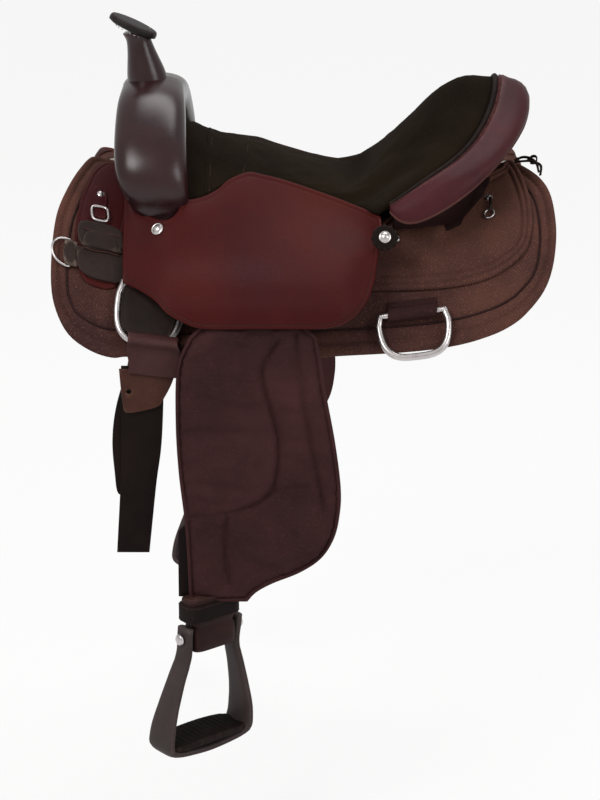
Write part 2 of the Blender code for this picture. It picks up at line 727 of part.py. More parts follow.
def fork_and_horn(cutters):
    steps = 18
    outer = order_rings(swell_rings(0.0, 0.0, steps))
    middle = order_rings(swell_rings(SWELL_LEATHER_T, 0.0, steps))
    core = order_rings(swell_rings(SWELL_LEATHER_T + SLACK, 0.0, steps))
    for rings in (outer, middle, core):
        for end in (0, -1):
            skirted = [Vector((TAB_X + (p.x - TAB_X) * TAB_NARROW, p.y + math.copysign(0.0065, p.y), p.z - SWELL_TAB))
                       for p in rings[end]]
            rings.insert(0 if end == 0 else len(rings), skirted)
    cover = sleeve("swell_cover", outer, middle, GLOSSY, sharp=60)
    for end in (0, -1):
        foot = [p + Vector((0, -math.copysign(0.025, p.y), -0.004)) for p in core[end]]
        core.insert(0 if end == 0 else len(core), foot)
    fork = loft("tree_fork", core, WOOD, sharp=60)
    for cutter in cutters:
        cut_by(fork, cutter)
    # The horn's post stands in a hole through the swell's top, and a wrap of leather flares round it.
    lean = Vector((HORN_TOP_X - HORN_X, 0, HORN_NECK_Z - HORN_BASE_Z)).normalized()
    across = Vector((0, 1, 0))
    fore = across.cross(lean)
    foot_at = Vector((HORN_X, 0, HORN_BASE_Z))
    length = (HORN_NECK_Z - HORN_BASE_Z) / lean.z
    flare = [(0.0, 0.031), (0.25, 0.0255), (0.5, 0.0190), (0.75, 0.0160), (1.0, 0.0165)]

    def neck(radius_at, start):
        return [ring_at(foot_at + lean * length * t, fore, across, radius_at(t), radius_at(t), 16)
                for t in (start + (1 - start) * k / 8 for k in range(9))]

    wrap = sleeve("horn_wrap", neck(lambda t: glide(flare, t), 0.0), neck(lambda t: HORN_POST_R + SLACK, 0.0),
                  GLOSSY, sharp=60)
    horn = loft("horn_core", neck(lambda t: HORN_POST_R, -0.3), STEEL, sharp=60)
    space = loft("post_space", neck(lambda t: HORN_POST_R + GAP, -0.305), STEEL)
    cut_by(cover, space)
    cut_by(fork, space)
    cut_by(wrap, loft("swell_space", order_rings(swell_rings(-GAP, 0.0, steps)), GLOSSY))
    up = Vector((math.sin(HORN_TILT), 0, math.cos(HORN_TILT)))
    top = foot_at + lean * (length - 0.004) + Vector((-0.003, 0, 0))

    def cap(name, more):
        r, t = HORN_CAP_R + more, HORN_CAP_T
        profile = [(0, -more), (r * 0.55, -more), (r * 0.92, 0.0015 - more), (r, t * 0.30), (r, t * 0.62),
                   (r * 0.93, t * 0.88), (r * 0.70, t), (r * 0.35, t), (0, t)]
        return turned(name, profile, top, up, DARK, 28, sharp=60)

    cap("horn_cap", 0.0)
    cap_space = cap("cap_space", GAP)
    cut_by(wrap, cap_space)
    cut_by(horn, cap_space)


# Hardware

CONCHO_SPOT = (-0.165, 0.012)


def concho(name, at, axis, radius):
    """A domed button on a surface."""
    profile = [(0, 0), (radius * 0.94, 0), (radius, 0.0010), (radius * 0.9, 0.0024), (radius * 0.62, 0.0028),
               (radius * 0.5, 0.0038), (0, 0.0044)]
    return turned(name, profile, Vector(at) + Vector(axis) * SLACK, axis, STEEL, 14)


def conchos():
    for word, side in SIDES:
        place = flank_on(side)
        out = (place(*CONCHO_SPOT, 0.01) - place(*CONCHO_SPOT, 0)).normalized()
        concho(f"jockey_concho_{word}", place(*CONCHO_SPOT, 0.0002), out, 0.008)
        x, w = -0.244, 0.107
        concho(f"front_concho_{word}", back_on(side)(x, w, SKIRT_TOP + JOCKEY_T), out_from_back(side, x, w),
               0.0068)


def dee_frame(x, lean, hinge_y, hinge_z, side):
    """A dee's hinge, the way along its bar and the way it hangs."""
    along = Vector((1, 0, back_slope(x))).normalized()
    down = Vector((0, side * math.cos(lean), -math.sin(lean)))
    return Vector((x, side * hinge_y, hinge_z)), along, (down - along * down.dot(along)).normalized()


def dee_path(x, half, long, lean, hinge_y, hinge_z, side):
    """A dee in its hanging plane: a straight bar at the hinge, a deep flat bow below."""
    hinge, along, down = dee_frame(x, lean, hinge_y, hinge_z, side)
    points = [hinge + along * half * 0.93 * (1 - 2 * k / 4) for k in range(5)]
    for k in range(19):
        angle = math.pi * (0.03 + 0.94 * k / 18)
        c, s = math.cos(angle), math.sin(angle)
        points.append(hinge - along * half * math.copysign(abs(c) ** 0.45, c) + down * (long * abs(s) ** 0.45))
    return points


def strap_loop(name, x, wide, hinge_w, hinge_h, tail_w, side, hole, look):
    """A strap flat on the skirt that ends in a loop round a dee's bar."""
    centre = over_back(x, hinge_w, hinge_h)
    centre = Vector((centre.y, centre.z))
    fall = back_fall(hinge_w)
    out = Vector((fall, 1)).normalized()
    down = Vector((out.y, -out.x))
    rim = []
    tails = [tail_w, *(fold for fold in FOLDS if tail_w + 0.003 < fold < hinge_w - 0.009), hinge_w - 0.006]
    low, high = SKIRT_TOP + GAP, SKIRT_TOP + GAP + STRAP_T
    for w in tails:
        p = over_back(x, w, high)
        rim.append(Vector((p.y, p.z)))
    radius = hole + 0.003
    for k in range(11):
        angle = math.radians(155 - 245 * k / 10)
        rim.append(centre + down * radius * math.cos(angle) + out * radius * math.sin(angle))
    for w in reversed(tails):
        p = over_back(x, w, low)
        rim.append(Vector((p.y, p.z)))
    inner = [centre + p for p in circle(0, 0, hole, 12)]
    slope = (back_rise(x + wide / 2) - back_rise(x - wide / 2)) / wide

    def place(y, z, h):
        return Vector((h, side * y, z + slope * (h - x)))

    return slab(name, rim, place, x - wide / 2, x + wide / 2, look, holes=[inner])


# Hinge heights, over the back, of the dees' bars
DEE_HOLE = DEE_WIRE + LOOP_HOLE
DEE_HINGE_H = SKIRT_TOP + DEE_HOLE + 0.0045


def rigging():
    for word, side in SIDES:
        for end, x, w, half, long, lean, tail in (
                ("front", FRONT_DEE_X, FRONT_DEE_W, FRONT_DEE_HALF, FRONT_DEE_LONG, FRONT_DEE_LEAN, 0.151),
                ("rear", REAR_DEE_X, REAR_DEE_W, REAR_DEE_HALF, REAR_DEE_LONG, REAR_DEE_LEAN, 0.189)):
            hinge = over_back(x, w, DEE_HINGE_H)
            strap_loop(f"{end}_rigging_{word}", x, 0.062, w, DEE_HINGE_H, tail, side, DEE_HOLE, DARK)
            path = dee_path(x, half, long, lean, hinge.y, hinge.z, side)
            rod(f"{end}_dee_{word}", path, DEE_WIRE, STEEL, origin=(x, side * hinge.y, hinge.z))


def latigos():
    """The latigo hangs from the near front dee, the off billet from the off one."""
    hinge = over_back(FRONT_DEE_X, FRONT_DEE_W, DEE_HINGE_H)
    spot, _, down = dee_frame(FRONT_DEE_X, FRONT_DEE_LEAN, hinge.y, hinge.z, 1)
    bow = spot + down * FRONT_DEE_LONG
    low = Vector((bow.y, bow.z))
    radius = LATIGO_HOLE + LATIGO_T
    for name, side, end_z in (("latigo", -1, LATIGO_END_Z), ("off_billet", 1, -0.46)):
        rim = [low + Vector((math.cos(a), math.sin(a))) * radius
               for a in (math.radians(-35 + 250 * k / 12) for k in range(13))]
        inner_y, outer_y = LATIGO_IN_Y, LATIGO_IN_Y + 0.0085
        thin = LATIGO_IN_Y + 0.0040
        rim += [Vector((inner_y, low.y - 0.019)), Vector((inner_y, end_z)), Vector((thin, end_z)),
                Vector((thin, -0.205)), Vector((outer_y, -0.195)), Vector((outer_y, low.y - 0.016))]
        hole = [low + p for p in circle(0, 0, LATIGO_HOLE, 14)]

        def place(y, z, h, side=side):
            tilt = back_slope(FRONT_DEE_X) * ease(-0.24, -0.13, z)
            return Vector((h, side * y, z + tilt * (h - bow.x)))

        slab(name, rim, place, bow.x - LATIGO_W / 2, bow.x + LATIGO_W / 2, LATIGO_TAN,
             holes=[hole], origin=(bow.x, side * bow.y, bow.z))


# The fender and the stirrup leather

FENDER_RIM = [
    (-0.105, -0.075, 1), (-0.126, -0.097, 1), (-0.139, -0.135), (-0.140, -0.205), (-0.137, -0.270),
    (-0.130, -0.330), (-0.131, -0.375), (-0.130, -0.430, 1), (-0.060, -0.430, 1), (-0.045, -0.422),
    (-0.025, -0.411), (0.012, -0.396), (0.037, -0.378), (0.053, -0.354), (0.061, -0.325), (0.063, -0.290),
    (0.059, -0.232), (0.052, -0.164), (0.045, -0.118), (0.034, -0.095, 1), (0.012, -0.075, 1),
]
REAR_SEAM = [(0.009, -0.095), (0.016, -0.164), (0.028, -0.233), (0.039, -0.292), (0.044, -0.317)]
OVAL_SEAM = [(-0.015, -0.105), (-0.031, -0.131), (-0.033, -0.150), (-0.024, -0.187), (-0.015, -0.222),
             (-0.014, -0.252), (-0.018, -0.280), (-0.027, -0.299), (-0.050, -0.316), (-0.077, -0.325),
             (-0.105, -0.329), (-0.130, -0.330)]
LOW_SEAM = [(-0.079, -0.329), (-0.082, -0.374), (-0.077, -0.416)]


def fender_plane(side):
    lean = math.tan(FENDER_LEAN)

    def place(x, z, h):
        y = FENDER_OUT_Y - FENDER_T - (z - FENDER_TOP_Z) * lean + h
        return Vector((x, side * y, z))
    return place


def open_distance(line, at):
    best = 1.0
    for a, b in zip(line, line[1:]):
        way = b - a
        t = min(max((at - a).dot(way) / way.length_squared, 0.0), 1.0)
        best = min(best, (a + way * t - at).length)
    return best


def fenders():
    rim = outline(FENDER_RIM, 0.02)
    seams = [[Vector(p) for p in seam] for seam in (REAR_SEAM, OVAL_SEAM, LOW_SEAM)]

    def puff(x, z):
        at = Vector((x, z))
        near = min(open_distance(seam, at) for seam in seams)
        edge = distance_to(rim, at)
        return FENDER_T * (0.55 + 0.25 * ease(0, 0.012, edge) + 0.20 * ease(0.001, 0.011, near))

    x_lines = [-0.125 + 0.0125 * k for k in range(15)]
    z_lines = [-0.41 + 0.0165 * k for k in range(21)]
    for word, side in SIDES:
        slab(f"fender_{word}", rim, fender_plane(side), 0.0, puff, QUILT, x_lines, z_lines, sharp=60,
             origin=(FENDER_PIVOT[0], side * FENDER_PIVOT[1], FENDER_PIVOT[2]))


def band(name, path, thick, x0, x1, side, look, **more):
    """A flat strap across x whose middle follows a path in y and z."""
    left, right = [], []
    for i, p in enumerate(path):
        a, b = path[max(i - 1, 0)], path[min(i + 1, len(path) - 1)]
        along = (b - a).normalized()
        normal = Vector((-along.y, along.x))
        left.append(p + normal * thick / 2)
        right.append(p - normal * thick / 2)
    rim = left + right[::-1]
    return slab(name, rim, lambda y, z, h: Vector((h, side * y, z)), x0, x1, look, **more)


def stirrup_leathers():
    """The upper run goes over the bar, the lower one down behind the fender."""
    top = []
    rim = outline(BAR_RIM, 0.02)
    bar_top = bar_thickness(rim)
    for w in (0.080, 0.095, 0.110):
        p = over_back(LEATHER_X, w, bar_top(LEATHER_X, w) + 0.0060)
        top.append(Vector((p.y, p.z)))
    lean = math.tan(FENDER_LEAN)
    inner = FENDER_OUT_Y - FENDER_T

    def hang(z, off):
        return Vector((inner - (z - FENDER_TOP_Z) * lean - off, z))

    top += [Vector((0.142, -0.002)), Vector((0.185, -0.036)), Vector((0.226, -0.074)), hang(-0.098, 0.0045),
            hang(-0.110, 0.0036), hang(-0.140, 0.0036)]
    low = [hang(-0.1415, 0.0036), hang(-0.28, 0.0036), hang(BOLT_Z + NECK_RISE + GAP, 0.0036)]
    for word, side in SIDES:
        x0, x1 = LEATHER_X - LEATHER_W / 2, LEATHER_X + LEATHER_W / 2
        band(f"stirrup_leather_{word}", top, 0.0055, x0, x1, side, DARK)
        shift = -0.0665
        verts_low = band(f"lower_leather_{word}", low, 0.0055, x0 + shift * 0.4, x1 + shift * 0.4, side, DARK)
        verts_low.name = f"lower_leather_{word}"


def stirrup_frame_points():
    """The half path of the frame from an ear down to the middle of the base: (across, up, depth)."""
    return [(EAR_HALF, BOLT_Z + 0.014, EAR_DEEP), (EAR_HALF, BOLT_Z + 0.010, EAR_DEEP),
            (EAR_HALF, BOLT_Z - 0.012, EAR_DEEP), (EAR_HALF + 0.003, BOLT_Z - 0.028, 0.027),
            (0.055, -0.542, 0.031), (0.066, -0.575, 0.038),
            (STIRRUP_HALF - FRAME_T / 2, -0.602, 0.046), (0.068, STIRRUP_BASE_Z + 0.012, TREAD_DEEP),
            (0.055, STIRRUP_BASE_Z + 0.005, TREAD_DEEP), (0.028, STIRRUP_BASE_Z + 0.0015, TREAD_DEEP),
            (0.0, STIRRUP_BASE_Z, TREAD_DEEP)]


def stirrups():
    for word, side in SIDES:
        turn = STIRRUP_TURN
        across = Vector((math.cos(turn), -side * math.sin(turn), 0))
        depth = Vector((math.sin(turn), side * math.cos(turn), 0))
        centre = Vector((STIRRUP_X, side * STIRRUP_Y, 0))
        half = stirrup_frame_points()
        path = [(-a, z, d) for a, z, d in half] + [(a, z, d) for a, z, d in half[-2::-1]]
        rings = []
        for i, (a, z, d) in enumerate(path):
            before, after = path[max(i - 1, 0)], path[min(i + 1, len(path) - 1)]
            along = Vector((after[0] - before[0], after[1] - before[1])).normalized()
            normal = across * -along.y + Vector((0, 0, 1)) * along.x
            spot = centre + across * a + Vector((0, 0, z))
            rings.append(ring_at(spot, depth, normal, d / 2, FRAME_T / 2, 12, 4.0))
        pivot = centre + Vector((0, 0, BOLT_Z))
        frame = loft(f"stirrup_{word}", rings, GREY, sharp=50, origin=pivot)
        space = loft(f"bolt_space_{word}", [
            [pivot + across * a + p for p in ring_at(Vector(), depth, Vector((0, 0, 1)), BOLT_R + GAP,
                                                     BOLT_R + GAP, 12)] for a in (-0.06, 0.06)], STEEL)
        cut_by(frame, space)
        r, head = BOLT_R, 0.0075
        reach = EAR_HALF + FRAME_T / 2 + SLACK
        profile = [(0, -reach - 0.004), (head * 0.8, -reach - 0.004), (head, -reach - 0.0025), (head, -reach),
                   (r, -reach), (r, reach), (head, reach), (head, reach + 0.0025), (head * 0.8, reach + 0.004),
                   (0, reach + 0.004)]
        turned(f"stirrup_bolt_{word}", profile, pivot, across, STEEL, 12, origin=pivot)
        base = STIRRUP_BASE_Z + FRAME_T / 2 + 0.006
        tread = outline([(-0.050, -0.022), (0.050, -0.022), (0.054, 0.0), (0.050, 0.022), (-0.050, 0.022),
                         (-0.054, 0.0)], 0.02)
        slab(f"stirrup_tread_{word}", tread,
             lambda a, b, h: centre + across * a + depth * b + Vector((0, 0, h)), base,
             base + TREAD_T, DARK, origin=pivot)
        # The neck: the leather's loop round the bolt, bound by the hobble strap.
        neck = [(-0.018, BOLT_Z - 0.009), (-0.011, BOLT_Z - 0.016), (0.0, BOLT_Z - 0.018),
                (0.011, BOLT_Z - 0.016), (0.018, BOLT_Z - 0.009), (0.016, BOLT_Z + 0.020),
                (0.012, BOLT_Z + NECK_RISE), (-0.012, BOLT_Z + NECK_RISE), (-0.016, BOLT_Z + 0.020)]
        hole = [Vector((p.x, p.y)) for p in circle(0, BOLT_Z, BOLT_R + 2 * GAP, 12)]
        wide = EAR_HALF - FRAME_T / 2 - 0.0015
        slab(f"hobble_strap_{word}", [Vector(p) for p in neck],
             lambda b, z, h: centre + depth * b + across * h + Vector((0, 0, z)), -wide, wide, BURGUNDY,
             holes=[hole])


# Small fittings

def fittings():
    for word, side in SIDES:
        place = back_on(side)
        # A rosette under the rear concho
        x, w = 0.113, 0.153
        out = out_from_back(side, x, w)
        base = place(x, w, SKIRT_TOP + JOCKEY_T + SLACK)
        r = 0.0155
        turned(f"rear_rosette_{word}", [(0, 0.0), (r * 0.8, 0.0), (r, 0.002), (r, 0.0035),
                                        (r * 0.85, 0.0045), (0, 0.0045)], base, out, DARK, 20)
        concho(f"rear_concho_{word}", base + out * 0.0045, out, 0.0080)
    top = SKIRT_TOP + JOCKEY_T
    keeper = outline([(-0.272, 0.152, 1), (-0.226, 0.146, 1), (-0.226, 0.178), (-0.230, 0.189),
                      (-0.268, 0.184)], 0.02)
    slab("latigo_keeper", keeper, back_on(-1), top + GAP, top + 0.011, DARK, X_FOLDS, FOLDS)


skirts_and_linings()
bars = tree_bars()
jockeys_on_the_back()
fork_and_horn(bars)
cantle()
seat_solid("padded_seat", 0.0, pad_thickness, BINDING_R + SLACK, SUEDE,
           SEAT_STATIONS)
seat_solid("ground_seat", SEAT_PAD_T + SLACK, ground_thickness, BINDING_R + SLACK, BURGUNDY,
           SEAT_STATIONS - 2)
seat_jockeys()
conchos()
rigging()
latigos()
fenders()
stirrup_leathers()
stirrups()
fittings()
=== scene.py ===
import json
import math

import bpy
import bmesh
import numpy as np
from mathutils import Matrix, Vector, noise
from mathutils.geometry import delaunay_2d_cdt


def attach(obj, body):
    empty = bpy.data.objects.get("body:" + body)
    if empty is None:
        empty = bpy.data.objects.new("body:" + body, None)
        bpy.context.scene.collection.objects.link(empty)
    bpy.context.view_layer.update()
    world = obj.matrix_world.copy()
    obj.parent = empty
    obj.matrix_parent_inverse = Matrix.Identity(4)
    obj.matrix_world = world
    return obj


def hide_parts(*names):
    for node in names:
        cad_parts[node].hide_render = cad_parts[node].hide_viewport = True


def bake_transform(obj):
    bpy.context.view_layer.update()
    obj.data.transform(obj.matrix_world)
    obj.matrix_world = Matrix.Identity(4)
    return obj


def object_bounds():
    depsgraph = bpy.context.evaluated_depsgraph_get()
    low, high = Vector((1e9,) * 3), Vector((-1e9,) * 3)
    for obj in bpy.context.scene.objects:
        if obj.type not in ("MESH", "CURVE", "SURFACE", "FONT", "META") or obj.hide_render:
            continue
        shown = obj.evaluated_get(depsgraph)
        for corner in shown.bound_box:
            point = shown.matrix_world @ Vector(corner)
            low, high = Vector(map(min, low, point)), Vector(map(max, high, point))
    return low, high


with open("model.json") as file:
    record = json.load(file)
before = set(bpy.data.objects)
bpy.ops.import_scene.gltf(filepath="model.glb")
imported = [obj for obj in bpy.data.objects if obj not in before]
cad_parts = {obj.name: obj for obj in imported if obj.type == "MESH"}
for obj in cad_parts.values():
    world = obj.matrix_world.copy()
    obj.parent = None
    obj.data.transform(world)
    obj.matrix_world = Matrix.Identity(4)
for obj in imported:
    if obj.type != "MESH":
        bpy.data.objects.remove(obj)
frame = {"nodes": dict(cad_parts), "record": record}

# The box of the model as it was packed
CAD_BOX = [[float(v) for v in corner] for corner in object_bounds()]

# Camera at the photograph's place
scene = bpy.context.scene
CAMERA_SPOT = (0.0136, -3.414, 0.875)
CAMERA_DOWN = math.radians(18.5)
CAMERA_LENS = 118.33
camera = bpy.data.objects.new("camera", bpy.data.cameras.new("camera"))
scene.collection.objects.link(camera)
camera.location = CAMERA_SPOT
camera.rotation_euler = (math.radians(90) - CAMERA_DOWN, 0, 0)
camera.data.lens = CAMERA_LENS
camera.data.sensor_width = 36
scene.camera = camera
scene.view_settings.view_transform = "Standard"

# Sizes in metres; the cantle is at +X, the near side at -Y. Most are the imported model's. Those of the cantle's rim and
# roll, the stirrups' turn and base, and the seat jockey's concho follow the photograph and differ a little from it.
GAP = 0.0003  # between pieces that touch
SLACK = 0.0006  # between pieces that are shaped over each other
SPINE_Z = 0.035
BACK_SLOPE = 0.05
BACK_CURVE = 3.0
BACK_DIP_X, BACK_DIP = 0.03, 0.045  # the back rises this much, 0.3 m before and behind its lowest place
CHANNEL = 0.020  # half the gap between the two skirts
SKIRT_T = 0.007
FLEECE_T = 0.014
JOCKEY_T = 0.0042
BAR_T = 0.013
BAR_RIM_T = 0.006
SEAT_PAD_T = 0.007
FENDER_T = 0.0065
BAR_FRONT, BAR_REAR = -0.200, 0.262
BAR_IN, BAR_OUT = 0.045, 0.128
HORN_X = -0.186
HORN_TOP_X = -0.198
HORN_BASE_Z = 0.172
HORN_NECK_Z = 0.232
HORN_CAP_R = 0.0355
HORN_CAP_T = 0.016
HORN_TILT = math.radians(22)
RIM_X = 0.115
RIM_DEEP = 0.155
RIM_HALF = 0.172
BINDING_R = 0.0035
ROLL_T = 0.006
SEAT_FRONT = -0.137
SEAT_EDGE_INSET = 0.0025
JOCKEY_HEM_Z = -0.083
JOCKEY_HEM_Y = 0.274
JOCKEY_STAND_OFF = 0.026
FENDER_TOP_Z = -0.107
FENDER_OUT_Y = 0.2665
FENDER_LEAN = math.radians(5)
LEATHER_W = 0.066
LEATHER_X = -0.045
STIRRUP_X, STIRRUP_Y = -0.112, 0.292
STIRRUP_TURN = math.radians(40)
STIRRUP_SHIFT = 0.011  # how far the frame's middle stands behind the fender's, along its turn
STIRRUP_LEAN = 0.017  # how far the base stands before the bolts
BOLT_Z = -0.486
BOLT_R = 0.004
NECK_RISE = 0.048  # how far the bound neck reaches over the bolt
STIRRUP_BASE_Z = -0.639
STIRRUP_HALF = 0.076
EAR_HALF = 0.040
FRAME_T = 0.011
TREAD_T = 0.008
TREAD_DEEP = 0.050
EAR_DEEP = 0.026
DEE_WIRE = 0.0042
FRONT_DEE_X, FRONT_DEE_W, FRONT_DEE_HALF, FRONT_DEE_LONG = -0.172, 0.188, 0.041, 0.078
REAR_DEE_X, REAR_DEE_W, REAR_DEE_HALF, REAR_DEE_LONG = 0.156, 0.202, 0.0425, 0.070
FRONT_DEE_LEAN = math.radians(52)
REAR_DEE_LEAN = math.radians(55)
LOOP_HOLE = 0.0010  # room round a dee's bar in its strap
LATIGO_END_Z = -0.394
LATIGO_IN_Y = 0.2492
SIDES = (("left", -1), ("right", 1))


def glide(points, at):
    """A smooth curve through (place, value) points, read at one place."""
    if at <= points[0][0]:
        return points[0][1]
    if at >= points[-1][0]:
        return points[-1][1]
    spot = next(i for i in range(len(points) - 1) if at <= points[i + 1][0])
    slopes = []
    for k in (spot, spot + 1):
        a, b = points[max(k - 1, 0)], points[min(k + 1, len(points) - 1)]
        slopes.append((b[1] - a[1]) / (b[0] - a[0]))
    (x0, y0), (x1, y1) = points[spot], points[spot + 1]
    span = x1 - x0
    t = (at - x0) / span
    return ((2 * t**3 - 3 * t**2 + 1) * y0 + (t**3 - 2 * t**2 + t) * span * slopes[0]
            + (3 * t**2 - 2 * t**3) * y1 + (t**3 - t**2) * span * slopes[1])


def ease(low, high, at):
    t = min(max((at - low) / (high - low), 0.0), 1.0)
    return t * t * (3 - 2 * t)


def outline(points, step):
    """A closed line through points, smooth except at those marked as corners by a third entry."""
    count = len(points)
    line = []
    for i, start in enumerate(points):
        end = points[(i + 1) % count]
        p0, p1 = Vector(start[:2]), Vector(end[:2])
        before, after = Vector(points[i - 1][:2]), Vector(points[(i + 2) % count][:2])
        m0 = p1 - p0 if len(start) > 2 else (p1 - before) / 2
        m1 = p1 - p0 if len(end) > 2 else (after - p0) / 2
        pieces = max(1, round((p1 - p0).length / step))
        for k in range(pieces):
            t = k / pieces
            line.append((2 * t**3 - 3 * t**2 + 1) * p0 + (t**3 - 2 * t**2 + t) * m0
                        + (3 * t**2 - 2 * t**3) * p1 + (t**3 - t**2) * m1)
    return line


def circle(u, v, radius, count):
    return [Vector((u + radius * math.cos(2 * math.pi * k / count),
                    v + radius * math.sin(2 * math.pi * k / count))) for k in range(count)]


def is_inside(loop, at):
    inside = False
    for a, b in zip(loop, loop[1:] + loop[:1]):
        if (a.y > at.y) != (b.y > at.y) and at.x < (b.x - a.x) * (at.y - a.y) / (b.y - a.y) + a.x:
            inside = not inside
    return inside


def distance_to(line, at):
    """How far a point is from a line of points, taken as closed."""
    best = 1.0
    for a, b in zip(line, line[1:] + line[:1]):
        way = b - a
        t = min(max((at - a).dot(way) / max(way.length_squared, 1e-12), 0.0), 1.0)
        best = min(best, (a + way * t - at).length)
    return best


def ring_at(centre, along, up, half_along, half_up, count, power=2.0):
    """Points round a rounded section, squarer the higher the power."""
    points = []
    for k in range(count):
        angle = 2 * math.pi * k / count
        c, s = math.cos(angle), math.sin(angle)
        points.append(centre + along * half_along * math.copysign(abs(c) ** (2 / power), c)
                      + up * half_up * math.copysign(abs(s) ** (2 / power), s))
    return points


def back_rise(x):
    return BACK_DIP * ((x - BACK_DIP_X) / 0.3)**2


def back_z(x, w):
    return SPINE_Z - BACK_SLOPE * w - BACK_CURVE * w * w + back_rise(x)


def back_fall(w):
    return BACK_SLOPE + 2 * BACK_CURVE * w


def over_back(x, w, h):
    """A point at height h over the back, on the side where Y is positive."""
    fall = back_fall(w)
    length = math.hypot(1, fall)
    return Vector((x, w + h * fall / length, back_z(x, w) + h / length))


def back_on(side):
    def place(x, w, h):
        p = over_back(x, w, h)
        return Vector((p.x, side * p.y, p.z))
    return place


def back_slope(x):
    return 2 * BACK_DIP * (x - BACK_DIP_X) / 0.3**2


def out_from_back(side, x, w):
    return Vector((-back_slope(x), side * back_fall(w), 1)).normalized()


SKIRT_TOP = SKIRT_T + GAP
BAR_RIM = [
    (BAR_FRONT, BAR_IN + 0.015), (BAR_FRONT + 0.02, BAR_IN), (0.0, BAR_IN), (BAR_REAR - 0.02, BAR_IN),
    (BAR_REAR, BAR_IN + 0.014), (BAR_REAR - 0.010, 0.085), (BAR_REAR - 0.035, 0.110),
    (BAR_REAR - 0.070, BAR_OUT), (0.0, BAR_OUT), (-0.11, BAR_OUT), (-0.145, BAR_OUT + 0.012),
    (-0.178, BAR_OUT + 0.012), (BAR_FRONT, BAR_OUT - 0.020),
]
CLIMB_W = (0.1105, 0.1315, 0.143)  # where the rear jockey comes down over the bar's edge
CLIMB_X = (0.190, 0.203)
# The cantle's rim and its roll, by degrees from the middle: height, reach outward and drop
RIM_Z = [(-22, 0.150), (0, 0.1815), (22, 0.150), (39, 0.1205), (50, 0.104), (68, 0.0805), (80, 0.0605), (90, 0.043)]
ROLL_OUT = [(0, 0.045), (20, 0.046), (40, 0.045), (56, 0.040), (66, 0.032), (76, 0.025), (81, 0.020), (84, 0.0135),
            (85.5, 0.008)]
ROLL_DROP = [(0, 0.034), (16, 0.024), (32, 0.019), (44, 0.020), (56, 0.029), (66, 0.0365), (74, 0.0355), (79, 0.029),
             (82, 0.021), (84, 0.013), (85.5, 0.006)]


def rim_z(degrees):
    return glide(RIM_Z, abs(degrees))


def rim_point(degrees, outward, rise):
    """A point beside the cantle's rim: outward from it, and above it."""
    angle = math.radians(degrees)
    out = Vector((math.cos(angle) / RIM_DEEP, math.sin(angle) / RIM_HALF, 0)).normalized()
    spot = Vector((RIM_X + RIM_DEEP * math.cos(angle), RIM_HALF * math.sin(angle), rim_z(degrees) + rise))
    return spot + out * outward


FLANK = [(-0.115, 0.278), (JOCKEY_HEM_Z, JOCKEY_HEM_Y), (-0.060, 0.2705), (-0.045, 0.2610), (-0.030, 0.246),
         (-0.005, 0.207)]
SEAT_EDGE_W = [(-0.137, 0.142), (-0.113, 0.136), (-0.093, 0.124), (-0.078, 0.110), (-0.054, 0.099),
               (-0.030, 0.095), (0.000, 0.093), (0.039, 0.099), (0.075, 0.116), (0.100, 0.138),
               (0.115, 0.160)]
SEAT_EDGE = [(-0.137, 0.055), (-0.113, 0.058), (-0.093, 0.065), (-0.078, 0.075), (-0.054, 0.082),
             (-0.037, 0.079), (-0.002, 0.069), (0.039, 0.056), (0.080, 0.045), (0.100, 0.041),
             (RIM_X, 0.042)]
JOCKEY_TOP_DROP = 0.003


def skirt_width(x, z):
    """How far out the skirt's top is at a height."""
    rise = max(SPINE_Z + back_rise(x) + SKIRT_T * 1.4 - z, 0.0)
    return (-BACK_SLOPE + math.sqrt(BACK_SLOPE**2 + 4 * BACK_CURVE * rise)) / (2 * BACK_CURVE)


def flank_y(x, z):
    edge_w, edge_z = glide(SEAT_EDGE_W, x) + SEAT_EDGE_INSET, glide(SEAT_EDGE, x)
    top = [(edge_z - 0.020, edge_w + 0.026), (edge_z, edge_w), (edge_z + 0.012, edge_w - 0.006)]
    full = glide([p for p in FLANK if p[0] < edge_z - 0.035] + top, z)
    snug = skirt_width(x, z) + JOCKEY_STAND_OFF
    swell = ease(-0.225, -0.150, x)
    rear = 1 - 0.45 * ease(0.06, 0.115, x) * (1 - ease(-0.03, 0.01, z))
    return snug + (full - snug) * swell * rear


def flank_on(side):
    def place(x, z, h):
        step = 0.002
        y = flank_y(x, z)
        dx = (flank_y(x + step, z) - flank_y(x - step, z)) / (2 * step)
        dz = (flank_y(x, z + step) - flank_y(x, z - step)) / (2 * step)
        out = Vector((-dx, 1, -dz)).normalized()
        p = Vector((x, y, z)) + out * h
        return Vector((p.x, side * p.y, p.z))
    return place


def order_rings(rings):
    """Turn each ring's start so that it lines up with the ring before it."""
    out = [rings[0]]
    for ring in rings[1:]:
        size = len(ring)
        options = []
        for way in (1, -1):
            turned_ring = ring[::way]
            for shift in range(size):
                moved = turned_ring[shift:] + turned_ring[:shift]
                options.append((sum((a - b).length for a, b in zip(moved, out[-1])), moved))
        out.append(min(options, key=lambda o: o[0])[1])
    return out


def dee_frame(x, lean, hinge_y, hinge_z, side):
    """A dee's hinge, the way along its bar and the way it hangs."""
    along = Vector((1, 0, back_slope(x))).normalized()
    down = Vector((0, side * math.cos(lean), -math.sin(lean)))
    return Vector((x, side * hinge_y, hinge_z)), along, (down - along * down.dot(along)).normalized()


